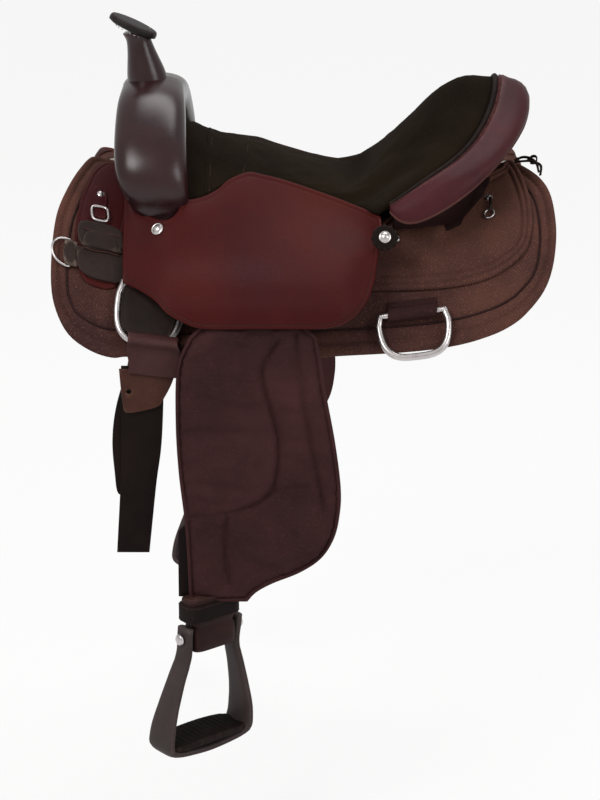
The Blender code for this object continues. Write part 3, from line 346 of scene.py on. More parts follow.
DEE_HOLE = DEE_WIRE + LOOP_HOLE
DEE_HINGE_H = SKIRT_TOP + DEE_HOLE + 0.0045
REAR_SEAM = [(0.009, -0.095), (0.016, -0.164), (0.028, -0.233), (0.039, -0.292), (0.044, -0.317)]
OVAL_SEAM = [(-0.015, -0.105), (-0.031, -0.131), (-0.033, -0.150), (-0.024, -0.187), (-0.015, -0.222),
             (-0.014, -0.252), (-0.018, -0.280), (-0.027, -0.299), (-0.050, -0.316), (-0.077, -0.325),
             (-0.105, -0.329), (-0.130, -0.330)]
LOW_SEAM = [(-0.079, -0.329), (-0.082, -0.374), (-0.077, -0.416)]


def fender_plane(side):
    lean = math.tan(FENDER_LEAN)

    def place(x, z, h):
        y = FENDER_OUT_Y - FENDER_T - (z - FENDER_TOP_Z) * lean + h
        return Vector((x, side * y, z))
    return place


def stirrup_frame_points():
    """The half path of the frame from an ear down to the middle of the base: (across, up, depth)."""
    return [(EAR_HALF, BOLT_Z + 0.014, EAR_DEEP), (EAR_HALF, BOLT_Z + 0.010, EAR_DEEP),
            (EAR_HALF, BOLT_Z - 0.012, EAR_DEEP), (EAR_HALF + 0.003, BOLT_Z - 0.028, 0.027),
            (0.055, -0.542, 0.031), (0.066, -0.575, 0.038),
            (STIRRUP_HALF - FRAME_T / 2, -0.602, 0.046), (0.068, STIRRUP_BASE_Z + 0.012, TREAD_DEEP),
            (0.055, STIRRUP_BASE_Z + 0.005, TREAD_DEEP), (0.028, STIRRUP_BASE_Z + 0.0015, TREAD_DEEP),
            (0.0, STIRRUP_BASE_Z, TREAD_DEEP)]


# Outlines and sections of the soft parts, as photographed
SEWN_EDGE = [(SEAT_FRONT, 0.051), (-0.113, 0.053), (-0.093, 0.060), (-0.078, 0.069), (-0.054, 0.075), (-0.037, 0.072),
             (-0.002, 0.061), (0.039, 0.048), (0.080, 0.036), (0.100, 0.033), (0.115, 0.034)]
SEWN_MID = [(SEAT_FRONT, 0.118), (-0.098, 0.102), (-0.047, 0.0905), (0.010, 0.070), (0.049, 0.057), (0.080, 0.050),
            (0.098, 0.055), (0.120, 0.078), (0.155, 0.118), (0.190, 0.148), (0.213, 0.162), (0.230, 0.175),
            (0.245, 0.182), (0.270, 0.1825)]
SKIRT_LINE = [
    (-0.250, CHANNEL, 1), (-0.2617, 0.027), (-0.2740, 0.060), (-0.2880, 0.100), (-0.2985, 0.135),
    (-0.3024, 0.170), (-0.3020, 0.204), (-0.2950, 0.224), (-0.2790, 0.239), (-0.2530, 0.2462),
    (-0.2236, 0.2476), (-0.190, 0.243), (-0.060, 0.2360), (0.0593, 0.2290), (0.195, 0.2302), (0.2500, 0.2280),
    (0.2820, 0.2233), (0.3030, 0.2157), (0.3235, 0.2024), (0.3350, 0.185), (0.3410, 0.160), (0.3415, 0.135),
    (0.3370, 0.102), (0.3260, 0.074), (0.3080, 0.044), (0.292, CHANNEL, 1),
]
REAR_LINE = [(0.086, 0.140, 1), (0.098, 0.128), (0.116, 0.112), (0.140, 0.097), (0.165, 0.086), (0.200, 0.074),
             (0.235, 0.061), (0.262, 0.048), (0.278, 0.040), (0.283, 0.026, 1), (0.2925, 0.030), (0.298, 0.045),
             (0.307, 0.084), (0.3115, 0.114), (0.311, 0.1415), (0.303, 0.1617), (0.279, 0.1752), (0.243, 0.1822),
             (0.190, 0.1822), (0.113, 0.1775), (0.086, 0.1765, 1)]
FRONT_LINE = [
    (-0.240, 0.035, 1), (-0.254, 0.058), (-0.2635, 0.090), (-0.2700, 0.114), (-0.2735, 0.144),
    (-0.2735, 0.170), (-0.2680, 0.185), (-0.258, 0.195), (-0.235, 0.197), (-0.220, 0.193, 1), (-0.212, 0.140),
    (-0.208, 0.110), (-0.210, 0.080), (-0.218, 0.050), (-0.222, 0.038, 1),
]
JOCKEY_LINE = [(0.1165, 0.0365, 1), (0.1175, 0.020), (0.1150, 0.004), (0.1120, -0.014), (0.1080, -0.035),
               (0.099, -0.055), (0.083, -0.070), (0.062, -0.079), (0.035, JOCKEY_HEM_Z), (-0.030, JOCKEY_HEM_Z),
               (-0.105, JOCKEY_HEM_Z), (-0.132, -0.075), (-0.153, -0.063), (-0.172, -0.049), (-0.2115, -0.038, 1),
               (-0.2125, 0.010), (-0.2130, 0.058, 1), (-0.2030, 0.0475), (-0.1900, 0.0385), (-0.1780, 0.0335),
               (-0.1650, 0.0320), (-0.1520, 0.0345), (-0.1430, 0.0410)]
CONCHO_SPOT = (-0.1670, 0.0205)
FENDER_LINE = [(-0.105, -0.075, 1), (-0.126, -0.097, 1), (-0.141, -0.135), (-0.1435, -0.205), (-0.1405, -0.270),
               (-0.134, -0.330), (-0.131, -0.375), (-0.1285, -0.442, 1), (-0.054, -0.442, 1), (-0.043, -0.430),
               (-0.022, -0.418), (0.014, -0.403), (0.041, -0.384), (0.057, -0.358), (0.064, -0.328), (0.0655, -0.292),
               (0.0580, -0.232), (0.0455, -0.164), (0.0390, -0.118), (0.034, -0.095, 1), (0.012, -0.075, 1)]


def swell_lines(steps):
    """Sections of the swell as photographed: broad in the middle, full in the shoulders, rounded at the ends."""
    rings = []
    for k in range(steps + 1):
        t = -90 + 180 * k / steps
        a = abs(t)
        y = math.copysign(glide([(0, 0.0), (18, 0.058), (38, 0.107), (58, 0.136), (76, 0.147), (90, 0.146)], a), t)
        z = glide([(0, 0.162), (18, 0.151), (38, 0.120), (58, 0.090), (76, 0.064), (90, 0.044)], a)
        half_x = glide([(0, 0.041), (20, 0.0445), (45, 0.0465), (65, 0.0455), (80, 0.0415), (90, 0.037)], a)
        half_r = glide([(0, 0.021), (20, 0.024), (42, 0.026), (62, 0.024), (80, 0.018), (90, 0.013)], a)
        x = glide([(0, -0.1795), (30, -0.1790), (50, -0.1775), (68, -0.1745), (90, -0.1660)], a)
        tilt = math.radians(glide([(0, 90), (38, 50), (58, 22), (90, -6)], a))
        up = Vector((0, math.copysign(math.cos(tilt), t), math.sin(tilt))) if t else Vector((0, 0, 1))
        rings.append(ring_at(Vector((x, y if t else 0.0, z)), Vector((1, 0, 0)), up, half_x, half_r, 44, 2.5))
    return rings


def seat_top(along, degrees, drop, inner):
    """A point of the seat: along from the swell to the cantle, by degrees from the middle line."""
    angle = math.radians(degrees)
    end = RIM_X + (RIM_DEEP - inner) * math.cos(angle) * along**1.6
    x_mid = SEAT_FRONT + along * (RIM_X + (RIM_DEEP - inner) * along**1.6 - SEAT_FRONT)
    x_edge = SEAT_FRONT + along * (RIM_X - SEAT_FRONT)
    half = glide(SEAT_EDGE_W, x_edge)
    half += (RIM_HALF - inner - half) * ease(0.92, 1.0, along)
    edge = glide(SEWN_EDGE, x_edge)
    z = edge + (glide(SEWN_MID, x_mid) - edge) * math.cos(angle) ** 2
    z += (rim_z(degrees) - z) * ease(0.80, 1.0, along) ** 1.2
    return Vector((SEAT_FRONT + along * (end - SEAT_FRONT), half * math.sin(angle), z - drop))


# Material tools

def node(tree, kind, settings=None, **sockets):
    """A shader node with its settings and inputs; an input may be another node's output."""
    made = tree.nodes.new("ShaderNode" + kind)
    for key, value in (settings or {}).items():
        setattr(made, key, value)
    for key, value in sockets.items():
        socket = made.inputs[key.replace("_", " ")]
        if isinstance(value, bpy.types.NodeSocket):
            tree.links.new(value, socket)
        else:
            socket.default_value = value
    return made


def blend_colours(tree, factor, first, second):
    made = tree.nodes.new("ShaderNodeMix")
    made.data_type = "RGBA"
    for index, value in ((0, factor), (6, first), (7, second)):
        if isinstance(value, bpy.types.NodeSocket):
            tree.links.new(value, made.inputs[index])
        elif index:
            made.inputs[index].default_value = (*value, 1)
        else:
            made.inputs[0].default_value = value
    return made.outputs[2]


def math_node(tree, operation, first, second=0.0, third=0.0):
    made = tree.nodes.new("ShaderNodeMath")
    made.operation = operation
    for index, value in enumerate((first, second, third)):
        if isinstance(value, bpy.types.NodeSocket):
            tree.links.new(value, made.inputs[index])
        else:
            made.inputs[index].default_value = value
    return made.outputs[0]


def ramp(tree, factor, low, high):
    """0 below low, 1 above high."""
    made = node(tree, "MapRange", Value=factor)
    made.inputs[1].default_value, made.inputs[2].default_value = low, high
    return made.outputs[0]


def new_look(name, roughness, metallic=0.0, sheen=0.0, coat=0.0, specular=0.25, sheen_tint=(1, 1, 1)):
    look = bpy.data.materials.new(name)
    look.use_nodes = True
    tree = look.node_tree
    shader = tree.nodes["Principled BSDF"]
    for key, value in (("Roughness", roughness), ("Metallic", metallic), ("Sheen Weight", sheen),
                       ("Sheen Roughness", 0.5), ("Coat Weight", coat), ("Coat Roughness", 0.25),
                       ("Specular IOR Level", specular), ("Sheen Tint", (*sheen_tint, 1))):
        shader.inputs[key].default_value = value
    spot = tree.nodes.new("ShaderNodeTexCoord").outputs["Object"]
    return look, tree, shader, spot


def set_bump(tree, shader, height, strength, distance):
    bump = node(tree, "Bump", Height=height, Strength=strength, Distance=distance)
    tree.links.new(bump.outputs[0], shader.inputs["Normal"])


def clouds(tree, spot, scale, detail, rough=0.5):
    return node(tree, "TexNoise", Vector=spot, Scale=scale, Detail=detail, Roughness=rough).outputs[0]


def leather(name, colour, deep, roughness, worn=None, coat=0.0, bump=0.22, patch=9.0, specular=0.22):
    """Leather: cloudy colour, fine creased grain, paler where edges are rubbed."""
    look, tree, shader, spot = new_look(name, roughness, coat=coat, specular=specular)
    cloud = clouds(tree, spot, patch, 4, 0.6)
    fine = clouds(tree, spot, 180, 3)
    tone = blend_colours(tree, ramp(tree, cloud, 0.32, 0.66), deep, colour)
    tone = blend_colours(tree, math_node(tree, "MULTIPLY", ramp(tree, fine, 0.5, 0.8), 0.35), tone, deep)
    if worn:
        edge = node(tree, "NewGeometry").outputs["Pointiness"]
        rub = math_node(tree, "MULTIPLY", ramp(tree, edge, 0.53, 0.62), ramp(tree, fine, 0.3, 0.6))
        tone = blend_colours(tree, rub, tone, worn)
    tree.links.new(tone, shader.inputs["Base Color"])
    cells = node(tree, "TexVoronoi", {"feature": "DISTANCE_TO_EDGE"}, Vector=spot, Scale=620).outputs["Distance"]
    creases = clouds(tree, spot, 70, 5, 0.65)
    height = math_node(tree, "ADD", math_node(tree, "MULTIPLY", ramp(tree, cells, 0.0, 0.25), 0.5), creases)
    set_bump(tree, shader, height, bump, 0.0012)
    gloss = math_node(tree, "MULTIPLY_ADD", cloud, 0.16, roughness - 0.08)
    tree.links.new(gloss, shader.inputs["Roughness"])
    return look


YARN_PITCH = 0.0017


def woven(name, colour, deep, weave_shade_and_fleck=0.5, bump=0.5):
    """Coarse nylon cloth: over-and-under yarns that follow the sheet's own two directions; the low yarns get painted
    shade.
    """
    look, tree, shader, spot = new_look(name, 0.85, sheen=0.06, specular=0.12,
                                        sheen_tint=tuple(min(c * 9, 1) for c in colour))
    flat = node(tree, "UVMap", {"uv_map": "flat"}).outputs[0]
    parts = node(tree, "SeparateXYZ", Vector=flat).outputs
    over = math_node(tree, "MULTIPLY", *(
        math_node(tree, "SINE", math_node(tree, "MULTIPLY", parts[axis], math.pi / YARN_PITCH)) for axis in (0, 1)))
    cloud = clouds(tree, spot, 6.5, 5, 0.62)
    slub = clouds(tree, spot, 420, 2)
    tone = blend_colours(tree, ramp(tree, cloud, 0.3, 0.7), deep, colour)
    # Painted shade: where the weave's bump is low, the colour is darkened towards a near-black copy of the deep
    # colour; the paler slub flecks below are random tone.
    tone = blend_colours(tree, math_node(tree, "MULTIPLY", ramp(tree, over, 0.2, -0.9), weave_shade_and_fleck), tone,
                         tuple(c * 0.35 for c in deep))
    tone = blend_colours(tree, math_node(tree, "MULTIPLY", ramp(tree, slub, 0.55, 0.8), weave_shade_and_fleck * 0.8), tone,
                         tuple(min(c * 2.1, 1) for c in colour))
    tree.links.new(tone, shader.inputs["Base Color"])
    height = math_node(tree, "MULTIPLY_ADD", slub, 0.8, over)
    set_bump(tree, shader, height, bump, 0.0005)
    return look


def suede_look(name, colour, deep):
    """Suede: brushed patches with a short nap."""
    look, tree, shader, spot = new_look(name, 0.95, sheen=0.04, specular=0.03, sheen_tint=(0.5, 0.4, 0.3))
    brushed = clouds(tree, spot, 7, 5, 0.62)
    fine = clouds(tree, spot, 520, 4, 0.7)
    tone = blend_colours(tree, ramp(tree, brushed, 0.35, 0.68), deep, colour)
    tone = blend_colours(tree, math_node(tree, "MULTIPLY", ramp(tree, fine, 0.45, 0.75), 0.5), tone,
                         tuple(c * 1.9 for c in colour))
    tree.links.new(tone, shader.inputs["Base Color"])
    set_bump(tree, shader, math_node(tree, "MULTIPLY_ADD", brushed, 2.0, fine), 0.5, 0.0008)
    return look


def fleece_look(name):
    """Fleece: pale curls, with painted shade in the hollows between them."""
    look, tree, shader, spot = new_look(name, 1.0, sheen=0.6, specular=0.1)
    curls = node(tree, "TexVoronoi", {"feature": "SMOOTH_F1"}, Vector=spot, Scale=150).outputs["Distance"]
    cloud = clouds(tree, spot, 25, 5)
    # Painted shade: the colour darkens away from each curl's middle, towards the hollows between curls.
    tone = blend_colours(tree, ramp(tree, curls, 0.1, 0.8), (0.74, 0.68, 0.58), (0.44, 0.37, 0.28))
    tone = blend_colours(tree, math_node(tree, "MULTIPLY", ramp(tree, cloud, 0.4, 0.7), 0.5), tone, (0.82, 0.77, 0.68))
    tree.links.new(tone, shader.inputs["Base Color"])
    set_bump(tree, shader, math_node(tree, "MULTIPLY_ADD", cloud, 1.5, curls), 0.9, 0.003)
    return look


def metal(name, colour, roughness):
    """Polished metal with a faint haze and fine scratches."""
    look, tree, shader, spot = new_look(name, roughness, metallic=1.0)
    haze = clouds(tree, spot, 60, 5, 0.7)
    fine = clouds(tree, spot, 900, 2)
    tone = blend_colours(tree, ramp(tree, haze, 0.35, 0.7), tuple(c * 0.78 for c in colour), colour)
    tree.links.new(tone, shader.inputs["Base Color"])
    tree.links.new(math_node(tree, "MULTIPLY_ADD", haze, 0.22, roughness - 0.1), shader.inputs["Roughness"])
    set_bump(tree, shader, math_node(tree, "ADD", fine, haze), 0.12, 0.0004)
    return look


BURGUNDY = leather("burgundy_leather_look", (0.070, 0.0125, 0.0165), (0.036, 0.0080, 0.0100), 0.44,
                   worn=(0.16, 0.060, 0.055), specular=0.13)
WARM = leather("jockey_leather_look", (0.066, 0.0080, 0.0050), (0.042, 0.0060, 0.0080), 0.50,
               worn=(0.17, 0.060, 0.050), patch=5.0, specular=0.08)
GLOSSY = leather("glossy_leather_look", (0.030, 0.0085, 0.0095), (0.015, 0.0050, 0.0060), 0.25,
                 worn=(0.11, 0.04, 0.04), coat=0.10, bump=0.08, specular=0.32)
BLACK = leather("horn_leather_look", (0.016, 0.012, 0.012), (0.007, 0.006, 0.006), 0.42, worn=(0.06, 0.045, 0.043),
                specular=0.16)
EDGE = leather("cut_edge_look", (0.10, 0.040, 0.033), (0.055, 0.020, 0.018), 0.5, specular=0.1)
STRAP = leather("dark_strap_look", (0.0125, 0.0070, 0.0058), (0.0060, 0.0040, 0.0035), 0.6, worn=(0.05, 0.032, 0.027),
                specular=0.07)
WRAP = leather("latigo_wrap_look", (0.066, 0.026, 0.024), (0.034, 0.013, 0.013), 0.48, worn=(0.15, 0.075, 0.06),
               specular=0.13)
NECK = leather("neck_wrap_look", (0.036, 0.0135, 0.0115), (0.017, 0.0075, 0.0070), 0.5, worn=(0.11, 0.05, 0.04),
               specular=0.10)
KEEPER = leather("keeper_leather_look", (0.036, 0.022, 0.018), (0.014, 0.0095, 0.0085), 0.55,
                 worn=(0.14, 0.100, 0.08), specular=0.10)
LATIGO = leather("latigo_look", (0.076, 0.028, 0.019), (0.038, 0.015, 0.011), 0.6, worn=(0.17, 0.09, 0.06),
                 specular=0.12)
STIRRUP = leather("stirrup_leather_look", (0.064, 0.044, 0.041), (0.030, 0.021, 0.020), 0.6, worn=(0.16, 0.12, 0.11))
# The tree's cover is dark brown. It is made near black so that where the tree shows in gaps, such as under the
# cantle's roll, it stands in as painted shade.
TREE_COVER_AND_GAP_SHADE = leather("tree_cover_and_gap_shade_look", (0.022, 0.009, 0.008), (0.010, 0.005, 0.005), 0.6, specular=0.08)
SUEDE = suede_look("suede_look", (0.0128, 0.0084, 0.0048), (0.0062, 0.0044, 0.0032))
CORDURA = woven("cordura_look", (0.128, 0.052, 0.036), (0.046, 0.0195, 0.0185))
ROLL = woven("cordura_roll_look", (0.058, 0.022, 0.021), (0.026, 0.010, 0.010), bump=0.3)
QUILT = woven("quilt_look", (0.066, 0.023, 0.024), (0.024, 0.0095, 0.0095), weave_shade_and_fleck=0.35)
PIPING = leather("piping_look", (0.030, 0.011, 0.011), (0.014, 0.006, 0.006), 0.5, specular=0.1)
THREAD = leather("thread_look", (0.085, 0.045, 0.036), (0.035, 0.018, 0.015), 0.7, specular=0.1)
FLEECE = fleece_look("fleece_look")
STEEL = metal("steel_look", (0.64, 0.60, 0.59), 0.30)


# Meshes in general

def make(name, verts, faces, look, flat=None):
    """A piece from points and faces, its faces pointing out, with its flat pattern kept as a UV map."""
    mesh = bpy.data.meshes.new(name)
    mesh.from_pydata([tuple(v) for v in verts], [], [tuple(f) for f in faces])
    if flat is not None:
        layer = mesh.uv_layers.new(name="flat")
        corner = np.empty(len(mesh.loops), dtype=np.int32)
        mesh.loops.foreach_get("vertex_index", corner)
        layer.data.foreach_set("uv", np.asarray(flat, dtype=np.float32)[corner].ravel())
    work = bmesh.new()
    work.from_mesh(mesh)
    bmesh.ops.recalc_face_normals(work, faces=work.faces)
    work.to_mesh(mesh)
    work.free()
    mesh.materials.append(look)
    mesh.shade_smooth()
    piece = bpy.data.objects.new(name, mesh)
    scene.collection.objects.link(piece)
    return piece


def wear(piece, body, slot, *nodes):
    """The piece rides on a body and stands for the nodes named; slot is not used."""
    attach(piece, body)
    if nodes:
        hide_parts(*nodes)
    return piece


def inset(loop, much):
    """A closed line moved inward, or outward where much is below zero."""
    area = sum(a.x * b.y - b.x * a.y for a, b in zip(loop, loop[1:] + loop[:1]))
    line = []
    for i, p in enumerate(loop):
        way = (loop[(i + 1) % len(loop)] - loop[i - 1]).normalized()
        line.append(p - Vector((way.y, -way.x)) * much * math.copysign(1, area))
    return line


def inside_many(loop, spots):
    a = np.array(loop, dtype=float)
    b = np.roll(a, -1, 0)
    x, y = spots[:, 0:1], spots[:, 1:2]
    rise = np.where(np.abs(b[:, 1] - a[:, 1]) < 1e-12, 1e-12, b[:, 1] - a[:, 1])
    at = (b[:, 0] - a[:, 0]) * (y - a[:, 1]) / rise + a[:, 0]
    return (((a[:, 1] > y) != (b[:, 1] > y)) & (x < at)).sum(1) % 2 == 1


def distance_many(line, spots, closed=True):
    a = np.array(line, dtype=float)
    b = np.roll(a, -1, 0)
    if not closed:
        a, b = a[:-1], b[:-1]
    way = b - a
    best = np.full(len(spots), 9.0)
    for start in range(0, len(a), 60):
        p, q = a[start:start + 60], way[start:start + 60]
        d = spots[:, None, :] - p
        t = np.clip((d * q).sum(2) / np.maximum((q**2).sum(1), 1e-12), 0, 1)
        best = np.minimum(best, np.sqrt(((d - t[..., None] * q)**2).sum(2)).min(1))
    return best


def smooth_line(points, step):
    """An open smooth line through points in the sheet's two numbers."""
    spots = [Vector(p[:2]) for p in points]
    ends = [spots[0] * 2 - spots[1], *spots, spots[-1] * 2 - spots[-2]]
    line = []
    for i in range(1, len(ends) - 2):
        p0, p1, p2, p3 = ends[i - 1:i + 3]
        count = max(1, round((p2 - p1).length / step))
        for k in range(count):
            t = k / count
            line.append(0.5 * ((2 * p1) + (p2 - p0) * t + (2 * p0 - 5 * p1 + 4 * p2 - p3) * t**2
                               + (3 * p1 - p0 - 3 * p2 + p3) * t**3))
    line.append(spots[-1])
    return line


def filled(rim, step, rows, seams=(), seam_rows=(), holes=()):
    """A net of triangles inside an outline: rows along the rim, along seams, and a grid between them."""
    points, edges, marks = [], [], []

    def lay(line, closed):
        first = len(points)
        points.extend(line)
        count = len(line) if closed else len(line) - 1
        edges.extend((first + i, first + (i + 1) % len(line)) for i in range(count))
        marks.extend(line)

    lay(rim, True)
    for hole in holes:
        lay(hole, True)
    rim_array = np.array([tuple(p) for p in rim])
    for row in rows:
        ring = [p for p in inset(rim, row)]
        far = distance_many(rim_array, np.array([tuple(p) for p in ring]))
        good = inside_many(rim_array, np.array([tuple(p) for p in ring]))
        points.extend(p for p, d, g in zip(ring, far, good) if g and d > row * 0.93)
        marks.extend(p for p, d, g in zip(ring, far, good) if g and d > row * 0.93)
    for seam in seams:
        lines = [seam]
        for row in seam_rows:
            for side in (1, -1):
                lines.append([p + Vector((-(b - a).y, (b - a).x)).normalized() * row * side
                              for p, a, b in zip(seam, [seam[0], *seam[:-1]], [*seam[1:], seam[-1]])])
        for line in lines:
            spots = np.array([tuple(p) for p in line])
            good = inside_many(rim_array, spots) & (distance_many(rim_array, spots) > 0.0012)
            kept = [p for p, g in zip(line, good) if g]
            points.extend(kept)
            marks.extend(kept)
    low, high = rim_array.min(0), rim_array.max(0)
    us = np.arange(low[0], high[0], step)
    vs = np.arange(low[1], high[1], step * 0.87)
    grid = np.array([(u + (step / 2 if j % 2 else 0), v) for j, v in enumerate(vs) for u in us])
    grid = grid[inside_many(rim_array, grid)]
    taken = np.array([tuple(p) for p in marks])
    cell = {}
    for p in taken:
        cell.setdefault((int(p[0] // step), int(p[1] // step)), []).append(p)
    kept = []
    for p in grid:
        i, j = int(p[0] // step), int(p[1] // step)
        near = min(((q[0] - p[0])**2 + (q[1] - p[1])**2 for a in (-1, 0, 1) for b in (-1, 0, 1)
                    for q in cell.get((i + a, j + b), ())), default=1.0)
        if near > (step * 0.55)**2:
            kept.append(Vector(p))
    points.extend(kept)
    flat, _, tris, *_ = delaunay_2d_cdt(points, edges, [], 0, 1e-6)
    flat = np.array([tuple(p) for p in flat])
    tris = np.array([tuple(t) for t in tris])
    middles = flat[tris].mean(1)
    good = inside_many(rim_array, middles)
    for hole in holes:
        good &= ~inside_many(np.array([tuple(p) for p in hole]), middles)
    return flat, tris[good]


def sheet_mesh(name, net, place, low, high, look):
    """A closed sheet from a filled net: its underside at the heights low, its face at the heights high."""
    flat, tris = net
    used = np.unique(tris)
    row = {int(old): new for new, old in enumerate(used)}
    spots = flat[used]
    count = len(used)
    verts = [place(u, v, h) for (u, v), h in zip(spots, low)]
    verts += [place(u, v, h) for (u, v), h in zip(spots, high)]
    faces, met = [], set()
    for a, b, c in tris.tolist():
        a, b, c = row[a], row[b], row[c]
        faces.append((a + count, b + count, c + count))
        faces.append((c, b, a))
        met.update(((a, b), (b, c), (c, a)))
    walls = [(j, i, i + count, j + count) for i, j in met if (j, i) not in met]
    faces += sorted(walls)
    return make(name, verts, faces, look, flat=np.concatenate([spots, spots]))


def net_spots(net):
    flat, tris = net
    return flat[np.unique(tris)]


def bead(d, centre, radius, height):
    """A rounded ridge along a line at a distance from the rim."""
    return height * np.sqrt(np.clip(1 - ((d - centre) / radius)**2, 0, 1))


def eased(low, high, at):
    t = np.clip((at - low) / (high - low), 0, 1)
    return t * t * (3 - 2 * t)


def rounded_edge(d, radius):
    """0 at a sheet's edge, rising in a quarter circle to 1 at a distance."""
    return np.sqrt(np.clip(1 - (1 - np.clip(d / radius, 0, 1))**2, 0, 1))


def groove(d, at, wide):
    """1 along a line at a distance from the rim, falling off to both sides."""
    return np.exp(-((d - at) / wide)**2)


def noise_over(spots, rate_u, rate_v, seed):
    return np.array([noise.noise(Vector((u * rate_u, v * rate_v, seed))) for u, v in spots])


def frames_along(path, closed):
    """At each point of a path: the way along it, and two ways across that turn as little as they can."""
    count = len(path)
    ways = []
    for i in range(count):
        a = path[i - 1] if closed or i else path[i]
        b = path[(i + 1) % count] if closed or i < count - 1 else path[i]
        ways.append((b - a).normalized())
    across = ways[0].orthogonal().normalized()
    rows = []
    for way in ways:
        across = (across - way * across.dot(way)).normalized()
        rows.append((way, across, way.cross(across)))
    return rows


def tube(name, path, radius, look, sides=8, closed=False, squash=1.0):
    """A round or flattened cord along a path."""
    path = [Vector(p) for p in path]
    count = len(path)
    rows = frames_along(path, closed)
    twist = 0.0
    if closed:
        # The turn that is left over is spread along the way.
        way, first, _ = rows[0]
        left = rows[-1][1]
        left = (left - way * left.dot(way)).normalized()
        twist = math.atan2(left.cross(first).dot(way), left.dot(first))
    verts, flat, run = [], [], 0.0
    for i, (p, (way, across, third)) in enumerate(zip(path, rows)):
        run += (p - path[i - 1]).length if i else 0.0
        for k in range(sides):
            angle = 2 * math.pi * k / sides + twist * i / count
            verts.append(p + across * math.cos(angle) * radius + third * math.sin(angle) * radius * squash)
            flat.append((run, radius * angle))
    faces = []
    for r in range(count if closed else count - 1):
        a, b = r * sides, (r + 1) % count * sides
        faces += [(a + k, a + (k + 1) % sides, b + (k + 1) % sides, b + k) for k in range(sides)]
    if not closed:
        faces += [tuple(range(sides))[::-1], tuple(range(len(verts) - sides, len(verts)))]
    return make(name, verts, faces, look, flat=flat)


def lofted(name, rings, look):
    """A skin over rings of as many points each, closed at both ends."""
    size = len(rings[0])
    verts = [p for ring in rings for p in ring]
    faces = []
    for a in range(0, len(verts) - size, size):
        faces += [(a + k, a + (k + 1) % size, a + size + (k + 1) % size, a + size + k) for k in range(size)]
    faces += [tuple(range(size))[::-1], tuple(range(len(verts) - size, len(verts)))]
    flat = []
    for r, ring in enumerate(rings):
        run = 0.0
        for k, p in enumerate(ring):
            run += (p - ring[k - 1]).length if k else 0.0
            flat.append((r * 0.008, run))
    return make(name, verts, faces, look, flat=flat)


def powered(value, power):
    """A power that keeps the sign."""
    return math.copysign(abs(value) ** power, value)


def superellipse(k, count, wide, thick):
    """The k-th of count points round a section, squarer across and through as the two powers fall."""
    c, s = math.cos(2 * math.pi * k / count), math.sin(2 * math.pi * k / count)
    return powered(c, wide), powered(s, thick)


def strap_along(path, side, count, powers, thick, x_of, lift, ripple=0.0):
    """Rings of a flat strap whose middle line runs along a path in the plane across the saddle.

    x_of gives the place along the saddle from the path's count and point and the share across, -1 to 1; lift raises
    a place along the saddle, and ripple is the height of fine folds across the strap.
    """
    rings = []
    for i, p in enumerate(path):
        way = (path[min(i + 1, len(path) - 1)] - path[max(i - 1, 0)]).normalized()
        ring = []
        for k in range(count):
            across, through = superellipse(k, count, *powers)
            x = x_of(i, p, across)
            q = p + Vector((-way.y, way.x)) * (thick * through + ripple * math.sin(x * 160))
            ring.append(Vector((x, side * q.x, q.y + lift(x))))
        rings.append(ring)
    return rings


def stitches(name, path, ways, look=THREAD, long=0.0031, gap=0.0015, r=0.00042):
    """A row of short raised threads along a path; ways are the directions out of the cloth."""
    path = [Vector(p) for p in path]
    verts, faces = [], []
    lengths = [0.0]
    for a, b in zip(path, path[1:]):
        lengths.append(lengths[-1] + (b - a).length)

    def at(run):
        i = min(max(np.searchsorted(lengths, run) - 1, 0), len(path) - 2)
        t = (run - lengths[i]) / max(lengths[i + 1] - lengths[i], 1e-9)
        return path[i].lerp(path[i + 1], t), Vector(ways[i]).lerp(Vector(ways[i + 1]), t).normalized()

    run = gap
    while run + long < lengths[-1]:
        (a, out), (b, _) = at(run), at(run + long)
        along = (b - a).normalized()
        side = along.cross(out).normalized()
        first = len(verts)
        for p, lift, size in ((a, -0.4, 0.6), (a.lerp(b, 0.2), 0.35, 1.0), (a.lerp(b, 0.8), 0.35, 1.0),
                              (b, -0.4, 0.6)):
            for k in range(5):
                angle = 2 * math.pi * k / 5
                verts.append(p + out * r * (lift + math.sin(angle) * size) + side * r * size * math.cos(angle))
        for row in range(3):
            for k in range(5):
                i, j = first + row * 5 + k, first + row * 5 + (k + 1) % 5
                faces.append((i, j, j + 5, i + 5))
        faces.append(tuple(range(first, first + 5))[::-1])
        faces.append(tuple(range(first + 15, first + 20)))
        run += long + gap
    return make(name, verts, faces, look)


def on_sheet(place, line, h):
    """Points over a sheet at a height, with the ways out of it."""
    spots, ways = [], []
    for p in line:
        a, b = place(p[0], p[1], h), place(p[0], p[1], h + 0.004)
        spots.append(a)
        ways.append((b - a).normalized())
    return spots, ways


CLOTH_FRAMES = 20


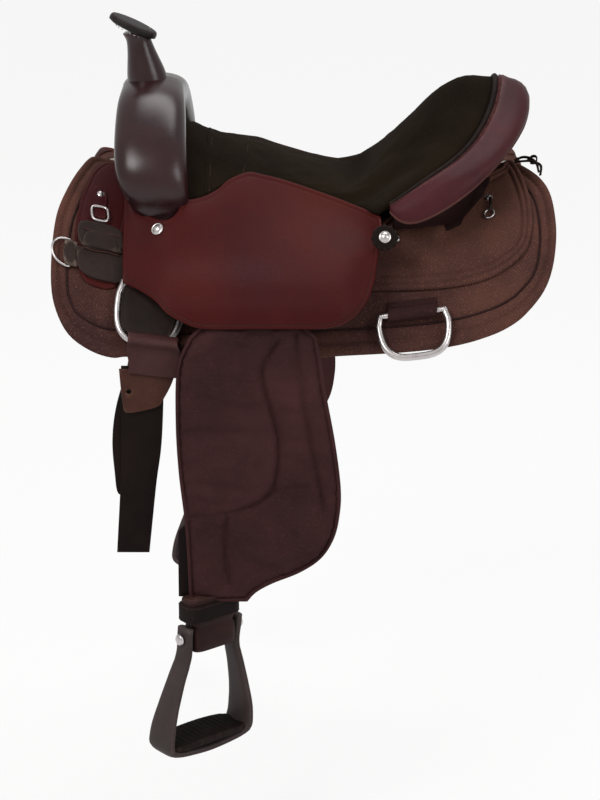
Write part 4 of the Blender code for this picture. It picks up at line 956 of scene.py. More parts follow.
def steamed(piece, held, pressure, cap, shrink, stiff, bend=0.3):
    """Blows a closed cloth form up a little where it isn't held at its seams, and keeps the result.

    held gives each point's grip from 0 to 1; cap is how far a point may move.
    """
    mesh = piece.data
    group = piece.vertex_groups.new(name="held")
    for index, grip in enumerate(held):
        if grip > 0.001:
            group.add([index], float(grip), "REPLACE")
    soft = piece.modifiers.new("cloth", "CLOTH")
    s = soft.settings
    s.quality = 5
    s.mass = 0.15
    s.use_pressure = True
    s.uniform_pressure_force = pressure
    s.effector_weights.gravity = 0
    s.vertex_group_mass = "held"
    s.tension_stiffness = s.compression_stiffness = s.shear_stiffness = stiff
    s.bending_stiffness = bend
    s.shrink_min = shrink
    soft.collision_settings.use_collision = False
    soft.point_cache.frame_start, soft.point_cache.frame_end = 1, CLOTH_FRAMES
    before = np.empty(len(mesh.vertices) * 3)
    mesh.vertices.foreach_get("co", before)
    for frame_number in range(1, CLOTH_FRAMES + 1):
        scene.frame_set(frame_number)
    done = piece.evaluated_get(bpy.context.evaluated_depsgraph_get())
    after = np.empty(len(before))
    done.data.vertices.foreach_get("co", after)
    before, after = before.reshape(-1, 3), after.reshape(-1, 3)
    move = after - before
    far = np.linalg.norm(move, axis=1, keepdims=True)
    move *= np.minimum(1.0, cap / np.maximum(far, 1e-9))
    piece.modifiers.remove(soft)
    piece.vertex_groups.remove(group)
    mesh.vertices.foreach_set("co", (before + move).ravel())
    mesh.update()
    scene.frame_set(1)


# Skirts, linings and the jockeys that lie on them

SKIRT_STEP = 0.0062
EDGE_ROWS = (0.0004, 0.0012, 0.0025, 0.0045)


def skirt_pads():
    for word, side in SIDES:
        far = max(side, 0)  # only the far skirt's front and rear ends near the spine are drawn in
        line = [(x + far * (0.026 * ease(0.215, 0.15, rest[0]) if x < -0.24 else -0.022 * ease(0.20, 0.12, rest[0])
                            if x > 0.26 else 0), *rest) for x, *rest in SKIRT_LINE]
        skirt_pad(word, side, outline(line, 0.006))


def skirt_pad(word, side, rim):
    """One skirt with its corded edge, its rolled band and its piping, over its fleece."""
    rows = (*EDGE_ROWS, 0.007, 0.0088, 0.0100, 0.0114, 0.0130, 0.0155, 0.0180, 0.0195, 0.0206, 0.0222, 0.0245)
    net = filled(rim, SKIRT_STEP, rows)
    spots = net_spots(net)
    d = distance_many(rim, spots)
    top = 0.0034 + bead(d, 0.0046, 0.0047, 0.0046)
    band_top = 0.0036 + bead(d, 0.0154, 0.0046, 0.0026)
    panel = 0.0036 + 0.0030 * (1 - np.exp(-np.clip(d - 0.0205, 0, 1) / 0.0032))
    top = np.where(d < 0.0098, top, np.where(d < 0.0204, band_top, panel))
    top = top + 0.0005 * noise_over(spots, 26, 26, 3.0) * eased(0.022, 0.05, d)
    low = np.full(len(spots), 0.0002)
    low = np.minimum(low + 0.0030 * (1 - eased(0, 0.005, d)), top - 0.0002)
    place = back_on(side)
    wear(sheet_mesh(f"skirt_cloth_{word}", net, place, low, top, CORDURA), "saddle", "woven_nylon", f"skirt_{word}")
    line = inset(rim, 0.0205)
    wear(tube(f"skirt_piping_{word}", [place(p.x, p.y, 0.0052) for p in line], 0.0013, PIPING, 7, True),
         "saddle", "woven_nylon")
    fleece_rim = [Vector((min(p.x, 0.258 + 0.72 * p.y), p.y)) for p in inset(rim, 0.007)[::2]]
    lining = filled(fleece_rim, 0.009, (0.0015, 0.004, 0.008))
    at = net_spots(lining)
    off = distance_many(fleece_rim, at)
    pile = np.array([noise.fractal(Vector((u * 60, v * 60, 7.0)), 1.0, 2.0, 3) for u, v in at])
    under = -FLEECE_T * np.sqrt(np.clip(eased(-0.006, 0.010, off), 0.05, 1)) + 0.0016 * np.clip(pile, -1, 1)
    wear(sheet_mesh(f"fleece_pile_{word}", lining, place, np.maximum(under, -FLEECE_T - 0.003),
                    np.full(len(at), -GAP), FLEECE), "saddle", "fleece", f"fleece_{word}")


def climb_over_bar(spots):
    """The rear jockey's height over the skirt, where it climbs over the bar's edge."""
    x, w = spots[:, 0], spots[:, 1]
    high, edge = BAR_T + 2 * GAP, BAR_RIM_T + 0.0011
    inner = edge + (high - edge) * np.clip((CLIMB_W[1] - w) / (CLIMB_W[1] - CLIMB_W[0]), 0, 1)
    outer = edge * np.clip(1 - (w - CLIMB_W[1]) / (CLIMB_W[2] - CLIMB_W[1]), 0, 1)
    return np.where(w < CLIMB_W[1], inner, outer) * np.clip((CLIMB_X[1] - x) / (CLIMB_X[1] - CLIMB_X[0]), 0, 1)


def rear_jockeys():
    rim = outline(REAR_LINE, 0.005)
    rows = (0.0004, 0.0012, 0.0024, 0.0040, 0.0054, 0.0064, 0.0074, 0.0090, 0.0106, 0.0120, 0.0130, 0.0142, 0.0160)
    net = filled(rim, 0.0058, rows)
    spots = net_spots(net)
    d = distance_many(rim, spots)
    top = 0.0016 + np.where(d < 0.0064, bead(d, 0.0032, 0.0033, 0.0042),
                            np.where(d < 0.0128, bead(d, 0.0096, 0.0034, 0.0040),
                                     0.0034 * (1 - np.exp(-np.clip(d - 0.0128, 0, 1) / 0.0025))))
    low = climb_over_bar(spots)
    top = top + low
    for word, side in SIDES:
        place = back_on(side)
        wear(sheet_mesh(f"rear_jockey_cloth_{word}", net, place, SKIRT_TOP + low, SKIRT_TOP + top, CORDURA),
             "saddle", "woven_nylon", f"rear_jockey_{word}")


def front_jockeys():
    rim = outline(FRONT_LINE, 0.005)
    net = filled(rim, 0.006, (0.0004, 0.0010, 0.0020, 0.0032, 0.0045, 0.0052, 0.0060, 0.0080))
    spots = net_spots(net)
    d = distance_many(rim, spots)
    top = 0.0010 + 0.0030 * rounded_edge(d, 0.0024) - 0.0007 * groove(d, 0.0052, 0.0007)
    low = np.zeros(len(spots))
    for word, side in SIDES:
        place = back_on(side)
        wear(sheet_mesh(f"front_jockey_leather_{word}", net, place, SKIRT_TOP + low, SKIRT_TOP + top, WARM),
             "saddle", "burgundy_leather", f"front_jockey_{word}")
        line = inset(rim, 0.0052)
        spots3, ways = on_sheet(place, line + line[:1], SKIRT_TOP + 0.0035)
        wear(stitches(f"front_jockey_stitches_{word}", spots3, ways), "saddle", "burgundy_leather")


def seat_jockey_leather():
    top = [(x, z - JOCKEY_TOP_DROP) for x, z in SEAT_EDGE if x < 0.105]
    top[0] = (*top[0], 1)
    top[-1] = (*top[-1], 1)
    rim = outline(top + JOCKEY_LINE, 0.005)
    net = filled(rim, 0.0065, (0.0004, 0.0010, 0.0020, 0.0032, 0.0044, 0.0052, 0.0060, 0.0080))
    spots = net_spots(net)
    d = distance_many(rim, spots)
    face = -JOCKEY_T + 0.0012 + (JOCKEY_T - 0.0010) * rounded_edge(d, 0.0024) - 0.0006 * groove(d, 0.0052, 0.0007)
    face += 0.0010 * noise_over(spots, 14, 14, 5.0) * eased(0.01, 0.04, d)
    # A bump where the leather climbs over the bar's front end
    face += 0.0055 * groove(spots[:, 0], -0.1985, 0.009) * groove(spots[:, 1], 0.031, 0.011)
    low = np.full(len(spots), -JOCKEY_T)
    for word, side in SIDES:
        place = flank_on(side)
        wear(sheet_mesh(f"seat_jockey_leather_{word}", net, place, low, face, WARM), "saddle", "burgundy_leather",
             f"seat_jockey_{word}")
        line = [p for p in inset(rim, 0.0056) if p.y < -0.02]
        line.sort(key=lambda p: math.atan2(p.y + 0.02, p.x + 0.04))
        spots3, ways = on_sheet(place, line, 0.0001)
        wear(stitches(f"seat_jockey_stitches_{word}", spots3, ways), "saddle", "burgundy_leather")


# The seat, its front panel and the cantle

def seat_pad():
    """The suede seat: a crowned pad steamed over the ground seat, with a bound panel at its front."""
    wide, long = 41, 56
    angles = [-90 + 180 * i / (wide - 1) for i in range(wide)]
    cells = [(k, i, min(i, wide - 1 - i)) for k in range(long + 1) for i in range(wide)]
    top = [seat_top(k / long, angles[i], 0.0, BINDING_R + SLACK) for k, i, _ in cells]
    size = len(top)
    under = [p - Vector((0, 0, SEAT_PAD_T * (0.75 + 0.25 * math.cos(math.radians(angles[i])))))
             for p, (_, i, _) in zip(top, cells)]
    shaped = []
    for p, (k, _, edge) in zip(top, cells):
        swell = 0.0012 * math.sin(min(1.0, edge / 3.0, (long - k) / 2.0) * math.pi / 2)
        rough = noise.noise(p * 22) * 0.0009 * min(1.0, edge / 3.0)
        shaped.append(p + Vector((0, 0, swell + rough)))
    faces = []
    for k in range(long):
        for a in range(k * wide, (k + 1) * wide - 1):
            faces.append((a, a + 1, a + wide + 1, a + wide))
            faces.append((a + size + wide, a + size + wide + 1, a + size + 1, a + size))
    edge = [*range(wide), *range(2 * wide - 1, size, wide), *range(size - 2, size - wide - 1, -1),
            *range(size - 2 * wide, 0, -wide)]
    for i, j in zip(edge, edge[1:] + edge[:1]):
        faces.append((j, i, i + size, j + size))
    ground = []
    for k in range(30):
        line = [seat_top(k / 29, d, SEAT_PAD_T + 0.0006, BINDING_R + 0.0015) for d in range(-84, 85, 7)]
        ground.append(line + [q - Vector((0, 0, 0.003)) for q in reversed(line)])
    wear(lofted("ground_seat_leather", ground, TREE_COVER_AND_GAP_SHADE), "saddle", "burgundy_leather", "ground_seat")
    piece = make("seat_suede", shaped + under, faces, SUEDE, flat=[(p.x, p.y) for p in top] * 2)
    held = [1.0 if edge <= 1 or k <= 1 or k >= long - 1 else 0.15 for k, _, edge in cells] + [1.0] * size
    steamed(piece, held, 1.5, 0.004, shrink=-0.01, stiff=12)
    wear(piece, "saddle", "suede", "padded_seat")
    fold = [seat_top(0.115, d, -0.0012, BINDING_R) for d in range(-84, 85, 4)]
    wear(tube("seat_front_binding", fold, 0.0026, SUEDE, 8, squash=0.7), "saddle", "suede")
    for name, along in (("seat_front_seam", 0.135), ("seat_panel_seam", 0.30)):
        line = [seat_top(along, d, -0.0019, BINDING_R) for d in range(-86, 87, 2)]
        wear(stitches(name, line, [Vector((0, 0, 1))] * len(line)), "saddle", "suede")


def cantle_dress():
    """The leather roll round the cantle, swept along its rim, with its binding, stitches, hem and inner board."""
    steps = [-85.5, -84.6, -83.5, -82, -80] + [-78 + 2.6 * k for k in range(61)] + [80, 82, 83.5, 84.6, 85.5]
    profile = [(0.18, 0.003, 0.0, 0.0015), (0.40, 0, -0.06, 0), (0.62, 0, -0.15, 0), (0.80, 0, -0.29, 0),
               (0.93, 0, -0.48, 0), (1.0, 0, -0.70, 0), (1.005, 0, -0.86, 0), (0.99, 0, -0.97, 0),
               (0.97, 0, -1, -0.001)]
    above = Vector((0, 0, 1))
    roll, binding, seam, board = [], [], [], []
    for degrees in steps:
        out, drop = glide(ROLL_OUT, abs(degrees)), glide(ROLL_DROP, abs(degrees))
        top = [rim_point(degrees, BINDING_R + SLACK, 0.0005)]
        top += [rim_point(degrees, a * out + b, c * drop + d) for a, b, c, d in profile]
        middle = rim_point(degrees, 0.35 * out, -0.75 * drop)
        under = [p + (middle - p).normalized() * min(ROLL_T, (middle - p).length * 0.4) for p in top][::-1]
        roll.append(top + under)
        way = (rim_point(degrees, 1, 0) - rim_point(degrees, 0, 0)).normalized()
        binding.append(ring_at(rim_point(degrees, 0, -0.0010), way, above, BINDING_R + 0.0004, BINDING_R + 0.0012, 12))
        seam.append(rim_point(degrees, BINDING_R + 0.0035, 0.0016))
        corners = [rim_point(degrees, o, 0) for o in (-0.004, 0.008, 0.004, -0.006)]
        corners[0].z, corners[1].z = rim_z(degrees) - 0.0100, rim_z(degrees) - 0.0115
        low = max(back_z(corners[2].x, abs(corners[2].y)) + 0.034, 0.02)
        corners[2].z = corners[3].z = min(low, corners[1].z - 0.004)
        board.append(corners)
    wear(lofted("cantle_roll_leather", roll, BURGUNDY), "saddle", "burgundy_leather", "cantle_roll")
    # The board's near-black cover stands in as painted shade in the gap under the roll.
    wear(lofted("cantle_back_leather", board[2:-2], TREE_COVER_AND_GAP_SHADE), "saddle", "tree_wood", "tree_cantle")
    wear(lofted("cantle_binding_leather", binding, STRAP), "saddle", "dark_strap", "cantle_binding")
    wear(stitches("cantle_stitches", seam, [above] * len(seam)), "saddle", "burgundy_leather")
    hem = [p[9] + (p[9] - p[8]).normalized() * 0.0002 for p in roll]
    wear(tube("cantle_roll_edge", hem, 0.0017, EDGE, 7), "saddle", "burgundy_leather")


# Swell and horn

FORK_SHARE = 0.78  # the tree's fork inside the swell, as a share of its sections
NECK_END = 1.16  # where the horn's neck meets its cap, as a share of the neck


def swell_and_horn():
    """The swell over the tree's fork, the horn's neck and its oval cap, sewn and laced."""
    outer = order_rings(swell_lines(44))
    # Each end hangs down a little and closes in a rounded tongue.
    for end in (0, -1):
        base = outer[end]
        mid_x = sum(p.x for p in base) / len(base)
        for share in (0.2, 0.4, 0.6, 0.75, 0.87, 0.95, 0.99):
            narrow = math.sqrt(1 - share * share * 0.985)
            skirted = [Vector((mid_x + 0.002 * share + (p.x - mid_x) * narrow, p.y - math.copysign(0.002, p.y) * share,
                               p.z - 0.0160 * share)) for p in base]
            outer.insert(0 if end == 0 else len(outer), skirted)
    fork = []
    for ring in order_rings(swell_lines(28))[2:-2]:
        hub = sum(ring, Vector()) / len(ring)
        fork.append([hub + (q - hub) * FORK_SHARE for q in ring])
    wear(lofted("fork_cover", fork, TREE_COVER_AND_GAP_SHADE), "saddle", "tree_wood", "tree_fork")
    wear(lofted("swell_leather", outer, GLOSSY), "saddle", "glossy_leather", "swell_cover")
    lean = Vector((HORN_TOP_X - HORN_X, 0, HORN_NECK_Z - HORN_BASE_Z)).normalized()
    across = Vector((0, 1, 0))
    fore = across.cross(lean)
    foot = Vector((HORN_X, 0, HORN_BASE_Z))
    length = (HORN_NECK_Z - HORN_BASE_Z) / lean.z
    flare = [(0.0, 0.0270), (0.25, 0.0250), (0.5, 0.0215), (0.75, 0.0180), (1.0, 0.0160), (NECK_END, 0.0185)]
    rings = [ring_at(foot + lean * length * t, fore, across, glide(flare, t), glide(flare, t), 40)
             for t in (NECK_END * k / 24 for k in range(25))]
    wear(lofted("horn_neck_leather", rings, GLOSSY), "saddle", "glossy_leather", "horn_wrap", "horn_core")
    tilt = HORN_TILT + math.radians(3)
    up = Vector((math.sin(tilt), 0, math.cos(tilt)))
    top = foot + lean * (length + 0.0115) + Vector((-0.0065, 0, 0))
    front = across.cross(up)
    r, t = HORN_CAP_R * 0.93, HORN_CAP_T * 0.68
    profile = [(0.30, -0.0002), (0.60, 0.0), (0.88, 0.0006), (0.97, 0.0022), (1.0, t * 0.24), (1.002, t * 0.45),
               (1.0, t * 0.66), (0.975, t * 0.84), (0.92, t * 0.945), (0.82, t), (0.60, t * 1.02), (0.30, t * 1.03),
               (0.02, t * 1.03)]
    rings = [ring_at(top + up * h, front, across, r * s, 0.72 * r * s, 56) for s, h in profile]
    wear(lofted("horn_cap_leather", rings, BLACK), "saddle", "dark_strap", "horn_cap")
    edge = ring_at(top + up * (t * 0.90), front, across, r * 0.945, r * 0.68, 64)
    wear(stitches("horn_cap_stitches", edge + edge[:1], [up] * 65), "saddle", "dark_strap")
    # Lacing under the cap: short turns of cord round the neck
    lace = ring_at(top - up * 0.0016, front, across, r * 0.66, r * 0.60, 60)
    wear(stitches("horn_lacing", lace + lace[:1], [-up] * 61, look=STEEL, long=0.0022, gap=0.0040, r=0.0007),
         "saddle", "dark_strap")


# Hardware and straps

def dome(name, at, out, radius):
    """A concho: a flat-rimmed button with a raised beaded edge and a dome."""
    out = out.normalized()
    across = out.orthogonal().normalized()
    third = out.cross(across)
    profile = [(0.2, 0.0), (0.94, 0.0), (1.0, 0.0008), (1.0, 0.0016), (0.94, 0.0024), (0.86, 0.0021), (0.80, 0.0019),
               (0.72, 0.0026), (0.55, 0.0036), (0.35, 0.0043), (0.15, 0.0046), (0.01, 0.0047)]
    rings = [ring_at(at + out * h, across, third, radius * s, radius * s, 28) for s, h in profile]
    return lofted(name, rings, STEEL)


def conchos_and_rosettes():
    """Three conchos a side; the rear one sits on a scalloped leather rosette."""
    for word, side in SIDES:
        place = flank_on(side)
        spot = place(*CONCHO_SPOT, 0.0003)
        out = place(*CONCHO_SPOT, 0.01) - place(*CONCHO_SPOT, 0)
        wear(dome(f"jockey_concho_dome_{word}", spot, out, 0.0082), "saddle", "steel", f"jockey_concho_{word}")
        x, w = -0.2443, 0.0997
        out = out_from_back(side, x, w)
        wear(dome(f"front_concho_dome_{word}", back_on(side)(x, w, SKIRT_TOP + JOCKEY_T), out, 0.0072), "saddle",
             "steel", f"front_concho_{word}")
        base = place(0.1208, 0.0130, 0.0030)
        out = (place(0.1208, 0.0130, 0.0130) - base).normalized()
        across = Vector((1, 0, 0)) - out * out.x
        across.normalize()
        third = out.cross(across)
        rings = []
        for s, h in ((0.1, 0.0), (0.97, 0.0), (1.0, 0.0015), (0.97, 0.0034), (0.90, 0.0042), (0.70, 0.0046),
                     (0.02, 0.0046)):
            ring = []
            for k in range(72):
                a = 2 * math.pi * k / 72
                scallop = 1 + 0.045 * math.cos(12 * a) * (s > 0.5)
                ring.append(base + out * h + (across * math.cos(a) + third * math.sin(a)) * 0.0168 * s * scallop)
            rings.append(ring)
        wear(lofted(f"rosette_leather_{word}", rings, STRAP), "saddle", "dark_strap", f"rear_rosette_{word}")
        wear(dome(f"rear_concho_dome_{word}", base + out * 0.0046, out, 0.0078), "saddle", "steel",
             f"rear_concho_{word}")


def rigging_dress():
    """The dees' wires: a straight bar in the strap's loop and a rounded bow."""
    for word, side in SIDES:
        for end, x, w, half, long, lean in (
                ("front", FRONT_DEE_X, FRONT_DEE_W, FRONT_DEE_HALF + 0.001, FRONT_DEE_LONG, FRONT_DEE_LEAN),
                ("rear", REAR_DEE_X, REAR_DEE_W, REAR_DEE_HALF + 0.002, REAR_DEE_LONG - 0.012, REAR_DEE_LEAN)):
            centre = over_back(x, w, DEE_HINGE_H)
            hinge, along, down = dee_frame(x, lean, centre.y, centre.z, side)
            path = [hinge + along * half * 0.93 * (1 - 2 * k / 8) for k in range(9)]
            for k in range(49):
                angle = math.pi * (0.03 + 0.94 * k / 48)
                c, s = math.cos(angle), math.sin(angle)
                path.append(hinge - along * half * powered(c, 0.62) + down * (long * abs(s) ** 0.62))
            wear(tube(f"{end}_dee_wire_{word}", path, DEE_WIRE * 1.08, STEEL, 12, True), f"{end}_dee_{word}_body",
                 "steel", f"{end}_dee_{word}")


def plank(name, points, place, h0, h1, look, step=0.006, rounding=0.0012, waves=(0, 0, 0, 0), holes=(), seam=0.0):
    """A strap cut to an outline, with softened edges and a sewn line.

    waves is the height of its folds, how many there are to a metre both ways, and the seed of their noise.
    """
    rim = outline(points, step)
    net = filled(rim, step, (0.0003, 0.0008, 0.0016, 0.0030, 0.0045), holes=holes)
    spots = net_spots(net)
    d = distance_many(rim, spots)
    for hole in holes:
        d = np.minimum(d, distance_many(hole, spots))
    soft = rounding * (1 - rounded_edge(d, rounding))
    wave = waves[0] * noise_over(spots, *waves[1:])
    top = h1 - soft - seam * groove(d, 0.0032, 0.0006) + wave
    return sheet_mesh(name, net, place, h0 + soft * 0.5 + wave, top, look)


def latigo_dress():
    """The straps below the front dees: a wrap round the bow, a tongue with a hole, and the hanging ends."""
    hinge = over_back(FRONT_DEE_X, FRONT_DEE_W, DEE_HINGE_H)
    spot, along, down = dee_frame(FRONT_DEE_X, FRONT_DEE_LEAN, hinge.y, hinge.z, 1)
    bow = spot + down * FRONT_DEE_LONG
    for word, side, body, cad, end_z in (("left", -1, "latigo_body", "latigo", LATIGO_END_Z),
                                         ("right", 1, "off_billet_body", "off_billet", -0.425)):
        def face(x, z, h):
            return Vector((x, side * (LATIGO_IN_Y - 0.0085 + h), z))

        # The wrap goes up in front, over the bow and down behind.
        middle = [(0.2515, -0.149), (0.2517, -0.140), (0.2510, -0.128), (0.2500, -0.115),
                  (bow.y + 0.0115, bow.z + 0.006),
                  (bow.y + 0.003, bow.z + 0.0125), (bow.y - 0.007, bow.z + 0.0085), (bow.y - 0.0085, bow.z - 0.001),
                  (bow.y - 0.004, bow.z - 0.012), (0.2410, bow.z - 0.026), (0.2430, -0.149)]
        path = smooth_line(middle, 0.0025)
        rings = strap_along(path, side, 36, (0.25, 0.6), 0.0017,
                            lambda i, p, share: -0.1715 + (0.0325 - 0.0015 * math.sin(i * 0.35)) * share,
                            lambda x: back_slope(FRONT_DEE_X) * 0.6 * (x - bow.x), 0.0006)
        wear(lofted(f"latigo_wrap_{word}", rings, WRAP), body, "latigo_leather", cad)
        rear = ([(-0.1925, end_z, 1), (-0.1905, -0.300), (-0.186, -0.240), (-0.160, -0.140, 1)] if side > 0 else
                [(-0.1815, end_z, 1), (-0.171, -0.300), (-0.163, -0.240), (-0.158, -0.140, 1)])
        strap = [(-0.213, -0.140, 1), (-0.2145, -0.200), (-0.217 if side > 0 else -0.216, -0.279),
                 (-0.2235, end_z, 1)] + rear
        wear(plank(f"latigo_strap_{word}", strap, face, 0.0012, 0.0042, STRAP,
                   waves=(0.0016, 6, 12, 2.0), seam=0.0004), body, "latigo_leather")
        behind = [(-0.204, -0.140, 1), (-0.2205, -0.195), (-0.2265, -0.241), (-0.2245, -0.285), (-0.2205, -0.314),
                          (-0.205, -0.316), (-0.196, -0.300, 1), (-0.180, -0.140, 1)]
        wear(plank(f"latigo_second_{word}", behind, face, -0.0026, 0.0004, STRAP,
                   waves=(0.0006, 8, 14, 5.0), seam=0.0004), body, "latigo_leather")
        hole = circle(-0.2035, -0.1735, 0.0032, 14)
        tongue = [(-0.2155, -0.143, 1), (-0.2140, -0.165), (-0.2115, -0.192), (-0.2080, -0.2015), (-0.190, -0.200),
                          (-0.166, -0.193), (-0.1600, -0.184), (-0.150, -0.165), (-0.1420, -0.143, 1)]
        wear(plank(f"latigo_tongue_{word}", tongue, face, 0.0048, 0.0080, LATIGO, holes=[hole], seam=0.0005,
                   waves=(0.0008, 20, 12, 8.0)), body, "latigo_leather")
        # The strap's folds fill the dee.
        inside = [(-0.2080, -0.012, 1), (-0.2095, 0.020), (-0.2060, 0.050), (-0.1990, 0.066, 1),
                          (-0.1430, 0.066, 1), (-0.1375, 0.045), (-0.1360, 0.015), (-0.1390, -0.012, 1)]

        def in_dee(x, run, h):
            p = spot + along * (x - FRONT_DEE_X) + down * run
            out = along.cross(down).normalized()
            out = out if out.z > 0 else -out
            p = p + out * h
            return Vector((p.x, side * p.y, p.z))

        wear(plank(f"dee_filling_{word}", inside, in_dee, -0.0022, 0.0018, KEEPER,
                   waves=(0.0020, 24, 16, 4.0), seam=0.0005), f"front_dee_{word}_body",
             "dark_strap")


def keeper_dress():
    """Folded strap tucked in a keeper, a ring on a tab under the front concho, and the breast-collar dee."""
    base = SKIRT_TOP + JOCKEY_T
    place = back_on(-1)
    lower = [(-0.2700, 0.166, 1), (-0.2120, 0.161, 1), (-0.2065, 0.172), (-0.2080, 0.184), (-0.2200, 0.1905),
                     (-0.2520, 0.191), (-0.2690, 0.184)]
    upper = [(-0.2690, 0.146), (-0.2600, 0.1405), (-0.2360, 0.1385), (-0.2170, 0.1410), (-0.2110, 0.150),
                     (-0.2120, 0.163), (-0.2300, 0.1655), (-0.2580, 0.1670), (-0.2690, 0.160)]
    third = [(-0.2640, 0.1665, 1), (-0.2560, 0.152), (-0.2250, 0.150), (-0.2180, 0.1655, 1)]
    wear(plank("keeper_lower", lower, place, base + 0.0002, base + 0.0056, KEEPER, rounding=0.0022,
               waves=(0.0008, 40, 30, 1.0)), "saddle", "dark_strap", "latigo_keeper")
    wear(plank("keeper_upper", upper, place, base + 0.0050, base + 0.0112, KEEPER, rounding=0.0028,
               waves=(0.0008, 40, 30, 2.0)), "saddle", "dark_strap")
    wear(plank("keeper_fold", third, place, base + 0.0104, base + 0.0140, KEEPER, rounding=0.0018), "saddle",
         "dark_strap")
    for number, (w, lift) in enumerate(((0.1672, 0.0085), (0.1500, 0.0126))):
        line = [(-0.262 + 0.0065 * k, w + 0.0008 * math.sin(k * 0.9)) for k in range(8)]
        wear(tube(f"keeper_edge_{number}", [place(x, v, base + lift) for x, v in line], 0.0007, EDGE, 6), "saddle",
             "dark_strap")
    for word, side in SIDES:
        place = back_on(side)
        tab = [(-0.2520, 0.092), (-0.2440, 0.0885), (-0.2365, 0.092), (-0.2350, 0.110), (-0.2360, 0.130, 1),
                       (-0.2525, 0.130, 1), (-0.2530, 0.110)]
        wear(plank(f"tie_tab_{word}", tab, place, base + 0.0002, base + 0.0030, WARM, step=0.005, seam=0.0004),
             "saddle", "burgundy_leather")
        centre = Vector((-0.2430, 0.1265))
        ring = []
        for k in range(40):
            angle = 2 * math.pi * k / 40
            c, s_ = math.cos(angle), math.sin(angle)
            u = 0.0105 * powered(c, 0.6)
            v = 0.0090 * powered(s_, 0.6)
            ring.append(place(centre.x + u + v * 0.15, centre.y + v - u * 0.10, base + 0.0052 + 0.0015 * s_))
        wear(tube(f"tie_ring_{word}", ring, 0.0019, STEEL, 10, True), "saddle", "steel")
        # The breast-collar dee lies on the skirt, its bar under the jockey's edge.
        half_ring = []
        for k in range(25):
            angle = math.pi * k / 24
            half_ring.append(place(-0.2800 - 0.0215 * math.sin(angle) ** 0.8, 0.1735 + 0.0128 * math.cos(angle),
                                   SKIRT_TOP + 0.0030 + 0.0012 * math.sin(angle)))
        for k in range(5):
            half_ring.append(place(-0.2790, 0.1735 - 0.0128 + 0.0051 * (k + 0.5), SKIRT_TOP + 0.0030))
        wear(tube(f"breast_dee_{word}", half_ring, 0.0016, STEEL, 10, True), "saddle", "steel")
        slip = [(-0.2855, 0.163), (-0.2700, 0.162, 1), (-0.2700, 0.185, 1), (-0.2855, 0.184)]
        wear(plank(f"breast_tab_{word}", slip, place, SKIRT_TOP + 0.0046, SKIRT_TOP + 0.0064, KEEPER, step=0.005),
             "saddle", "dark_strap")


def rigging_straps():
    """The straps that hold the dees' bars: a flat tail sewn to the skirt and a loop."""
    for word, side in SIDES:
        for end, x, hinge_w, tail_w in (("front", FRONT_DEE_X, FRONT_DEE_W, 0.151),
                                        ("rear", REAR_DEE_X, REAR_DEE_W, 0.189)):
            centre = over_back(x, hinge_w, DEE_HINGE_H)
            middle = Vector((centre.y, centre.z))
            out = Vector((back_fall(hinge_w), 1)).normalized()
            way = Vector((out.y, -out.x))
            path = []
            for k in range(7):
                w = tail_w + (hinge_w - 0.007 - tail_w) * k / 6
                p = over_back(x, w, SKIRT_TOP + 0.0024)
                path.append(Vector((p.y, p.z)))
            for k in range(17):
                angle = math.radians(150 - 300 * k / 16)
                radius = DEE_HOLE + 0.0014
                path.append(middle + way * radius * math.cos(angle) + out * radius * math.sin(angle))
            slope = back_slope(x)
            rings = strap_along(path, side, 28, (0.25, 0.6), 0.0013, lambda i, p, share: x + 0.0312 * share,
                                lambda at: slope * (at - x))
            wear(lofted(f"{end}_rigging_strap_{word}", rings, ROLL), "saddle", "dark_strap", f"{end}_rigging_{word}")


def stirrup_axes(side):
    """The line across a stirrup, its depth, and the middle of its frame."""
    across = Vector((math.cos(STIRRUP_TURN), -side * math.sin(STIRRUP_TURN), 0))
    depth = Vector((math.sin(STIRRUP_TURN), side * math.cos(STIRRUP_TURN), 0))
    return across, depth, Vector((STIRRUP_X, side * STIRRUP_Y, 0)) + across * STIRRUP_SHIFT


